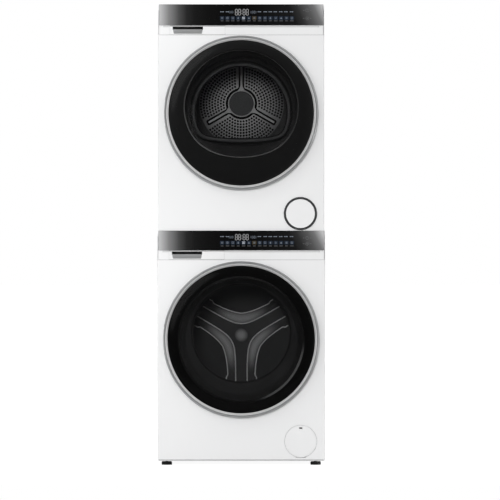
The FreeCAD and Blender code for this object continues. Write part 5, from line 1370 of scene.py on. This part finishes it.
def louvres(name, sheet, places):
    """Hooded air slots, open downward, each with a black plate under the hood, a painted shade for the dark
    slit.
    """
    bm = bmesh.new()
    along, across = LOUVRE_STEPS
    painted_slit_shades = []
    for x, z in places:
        rows = []
        for step in range(across + 1):
            down = step / across
            half = (1 - 0.12 * (1 - down)) * LOUVRE_LENGTH / 2
            row = []
            for index in range(along + 1):
                side = 2 * index / along - 1
                lift = BEAD_RISE * math.sin(math.pi / 2 * down) * (1 - abs(side) ** 5)
                row.append(bm.verts.new((x + side * half, sheet + lift, z + LOUVRE_HEIGHT * (0.5 - down))))
            rows.append(row)
        rows.append([bm.verts.new((vertex.co.x, sheet - SHEET_SINK, vertex.co.z)) for vertex in rows[-1]])
        bridge(bm, rows, around=False)
        painted_slit_shades.append([stadium(x, z - LOUVRE_HEIGHT / 2 - 1.4 * MM, LOUVRE_LENGTH * 0.92, 3.4 * MM)])
    dress(finished(bm, name, 50), FINISHES["zinc_steel"], "cabinets", "zinc_steel")
    # Black plates in the sheet under the hoods, a painted shade for the slits.
    slots = plates(f"{name}_slits", painted_slit_shades, sheet - SHEET_SINK, sheet + 0.3 * MM)
    dress(slots, BLACK_LINER_AND_PAINTED_SHADE, "cabinets", "dark_plastic")


def screws(name, sheet, places):
    """Pan-head screws, each with a flat black cross on its head, a painted shade for the cross recess. Each
    row of a head gives its share of the radius and its rise.
    """
    bm = bmesh.new()
    arm, half = 2.1 * MM, 0.45 * MM
    quarter = [(arm, -half), (arm, half), (half, half)]
    crosses = []
    for place in places:
        rings = []
        for share, rise in SCREW_ROWS:
            y = sheet - SHEET_SINK + rise * MM
            circle = ring_of_points(16, SCREW_RADIUS * share, place)
            rings.append([bm.verts.new((x, y, z)) for x, z in circle])
        bridge(bm, rings)
        bm.faces.new(rings[0])
        bm.faces.new(rings[-1])
        cross = [point for turn in SCREW_TURNS for point in turned_about(quarter, turn, place)]
        crosses.append([cross])
    dress(finished(bm, name, 40), FINISHES["steel"], "cabinets", "steel")
    # Flat black crosses on the heads, a painted shade for the recesses.
    top = sheet + 1.9 * MM
    painted_recess_shades = plates(f"{name}_recesses", crosses, top, top + 0.2 * MM)
    dress(painted_recess_shades, BLACK_LINER_AND_PAINTED_SHADE, "cabinets", "dark_plastic")


def rear_details(machine, frame_heights, bar_heights):
    """A rear sheet's pressed frame, ring and bars, and the screws along its edges."""
    low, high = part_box(f"{machine.name}_rear_panel")
    ring = ring_of_points(96, REAR_HUB_RADIUS, (0, machine.axis_z))
    edge = rectangle(-FRAME_HALF_WIDTH, FRAME_HALF_WIDTH, *frame_heights, FRAME_CORNER, ROUND_STEPS)
    bars = [stadium(0, z, BAR_LENGTH, BAR_WIDTH) for z in bar_heights]
    upright = stadium(0, 0, UPRIGHT_LENGTH, BAR_WIDTH)
    bars += [turned_about(upright, 90, (x, machine.axis_z)) for x in UPRIGHT_PLACES]
    pressings(f"{machine.name}_rear_pressings", high.y, [edge, ring], bars)
    side = high.x - SCREW_INSET
    start = low.z + SIDE_SCREW_MARGIN
    rise = (high.z - SIDE_SCREW_MARGIN - start) / (SIDE_SCREWS - 1)
    places = [(x, start + rise * index) for index in range(SIDE_SCREWS) for x in (-side, side)]
    places += [(x, z) for z in (high.z - SCREW_INSET, low.z + SCREW_INSET) for x in END_SCREW_PLACES]
    screws(f"{machine.name}_rear_screws", high.y, places)


rear_details(washer, (0.15, 0.72), (0.20, 0.25, 0.67))
rear_details(dryer, (1.095, 1.575), (1.145, 1.475, 1.525))
louvre_heights = [LOUVRE_LOWEST + LOUVRE_PITCH * row for row in range(LOUVRE_ROWS)]
louvre_places = [(x, z) for x in LOUVRE_COLUMNS for z in louvre_heights]
louvres("dryer_rear_louvres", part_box("dryer_rear_panel")[1].y, louvre_places)


# ---- the studio

CAMERA_DISTANCE = 16.0
CAMERA_PLACE = (0.0315, 0.770)
VIEW_WIDTH = 1.789
SENSOR_WIDTH = 36
ROOM_LEVELS = ((0.0, 0.02), (0.055, 0.03), (0.16, 0.45), (0.35, 0.9), (1.0, 1.0))
PATCH_DIRECTION = (-0.40, -0.866, 0.30)
FLOOR_SIDE, FLOOR_FRONT, FLOOR_BACK = 30, -1.6, 80
LAMPS = {
    "front_softbox": ((-0.7, -14.0, 2.5), (0, -0.3, 0.9), 1.8, 930),
    "key_softbox": ((-4.2, -8.0, 3.2), (0, -0.3, 0.9), 4.0, 45),
    "dryer_near_softbox": ((-0.5, -0.9, 1.75), (-0.3, -0.3, 1.5), 0.4, 1.15),
    "washer_near_softbox": ((-0.72, -0.8, 0.82), (-0.3, -0.3, -0.1), 0.5, 1.25),
    "left_softbox": ((-6.0, 4.8, 3.0), (0, 0, 0.8), 2.0, 150),
    "right_softbox": ((6.0, 4.2, 3.0), (0, 0, 0.8), 2.0, 265),
    "top_softbox": ((0, 1.2, 6.0), (0, 0, 1.6), 2.0, 45),
}


def lamp(name, place, target, size, watts):
    """A square soft light that the camera and reflections don't show."""
    light = bpy.data.lights.new(name, "AREA")
    light.shape = "RECTANGLE"
    light.size = light.size_y = size
    light.energy = watts
    holder = bpy.data.objects.new(name, light)
    holder.location = place
    holder.rotation_euler = (Vector(target) - Vector(place)).to_track_quat("-Z", "Y").to_euler()
    holder.visible_camera = False
    holder.visible_glossy = False
    scene.collection.objects.link(holder)


def studio_floor():
    """A pale floor, evenly bright to the camera and darker near the object in reflections."""
    bm = bmesh.new()
    corners = rectangle(-FLOOR_SIDE, FLOOR_SIDE, FLOOR_FRONT, FLOOR_BACK)
    bm.faces.new([bm.verts.new((x, y, 0)) for x, y in corners])
    floor = finished(bm, "studio_floor")
    finish = Finish("pale_floor", grey(0.8), 0.9)
    depth = finish.mapped(finish.axis("Y", finish.place), (-0.4, 0.8))
    mirrored = finish.ramp(depth, [(0, grey(0.12)), (1, grey(1.5))])
    glossy = finish.mix(finish.ray("Glossy"), (*grey(0.7), 1), mirrored)
    seen = finish.mix(finish.ray("Camera"), glossy, (*grey(0.5), 1))
    finish.set(Base_Color=seen, Specular_IOR_Level=0.0)
    finish.set(Emission_Color=(*grey(0.945), 1), Emission_Strength=finish.ray("Camera"))
    floor.data.materials.append(finish.material)


def studio_world():
    """White behind the object, an even pale light, and a dark room in front of it for the gloss."""
    world = bpy.data.worlds.new("studio")
    scene.world = world
    world.use_nodes = True
    world.node_tree.nodes.clear()
    sky = Nodes(world.node_tree)
    direction = sky.node("ShaderNodeTexCoord", "Generated", {})
    stops = [(place, grey(level)) for place, level in ROOM_LEVELS]
    room = sky.ramp(sky.mapped(sky.axis("Y", direction), (-1, 1)), stops, "EASE")
    sided = sky.mix(1, room, sky.mapped(sky.axis("X", direction), (-1, 1), (0.4, 1)), "MULTIPLY")
    toward = {0: direction, 1: Vector(PATCH_DIRECTION).normalized()}
    near = sky.node("ShaderNodeVectorMath", "Value", toward, operation="DOT_PRODUCT")
    rim, core = (math.cos(math.radians(angle)) for angle in (17, 12))
    patch = sky.mapped(near, (rim, core), (0, 0.5), interpolation_type="SMOOTHSTEP")
    gloss = sky.mix(1, sided, patch, "ADD")
    shaders = []
    for colour, strength in (((*grey(1), 1), 0.38), (gloss, 1), ((*grey(1), 1), 1)):
        inputs = {"Color": colour, "Strength": strength}
        shaders.append(sky.node("ShaderNodeBackground", 0, inputs))
    ambient, mirrored, seen = shaders
    around = sky.node("ShaderNodeMixShader", 0, {0: sky.ray("Glossy"), 1: ambient, 2: mirrored})
    rays = {0: sky.ray("Camera"), 1: sky.ray("Transmission")}
    straight = sky.node("ShaderNodeMath", 0, rays, operation="MAXIMUM")
    shown = sky.node("ShaderNodeMixShader", 0, {0: straight, 1: around, 2: seen})
    output = world.node_tree.nodes.new("ShaderNodeOutputWorld")
    sky.feed(output.inputs["Surface"], shown)


def studio_camera():
    """A long lens straight in front, which keeps widths and heights in proportion."""
    camera = bpy.data.cameras.new("camera")
    camera.sensor_width = SENSOR_WIDTH
    camera.lens = SENSOR_WIDTH * CAMERA_DISTANCE / VIEW_WIDTH
    camera.clip_end = 200
    holder = bpy.data.objects.new("camera", camera)
    x, z = CAMERA_PLACE
    holder.location = (x, washer.front - CAMERA_DISTANCE, z)
    holder.rotation_euler = (math.radians(90), 0, 0)
    scene.collection.objects.link(holder)
    scene.camera = holder


studio_world()
studio_floor()
studio_camera()
for name, settings in LAMPS.items():
    lamp(name, *settings)
scene.view_settings.view_transform = "Standard"
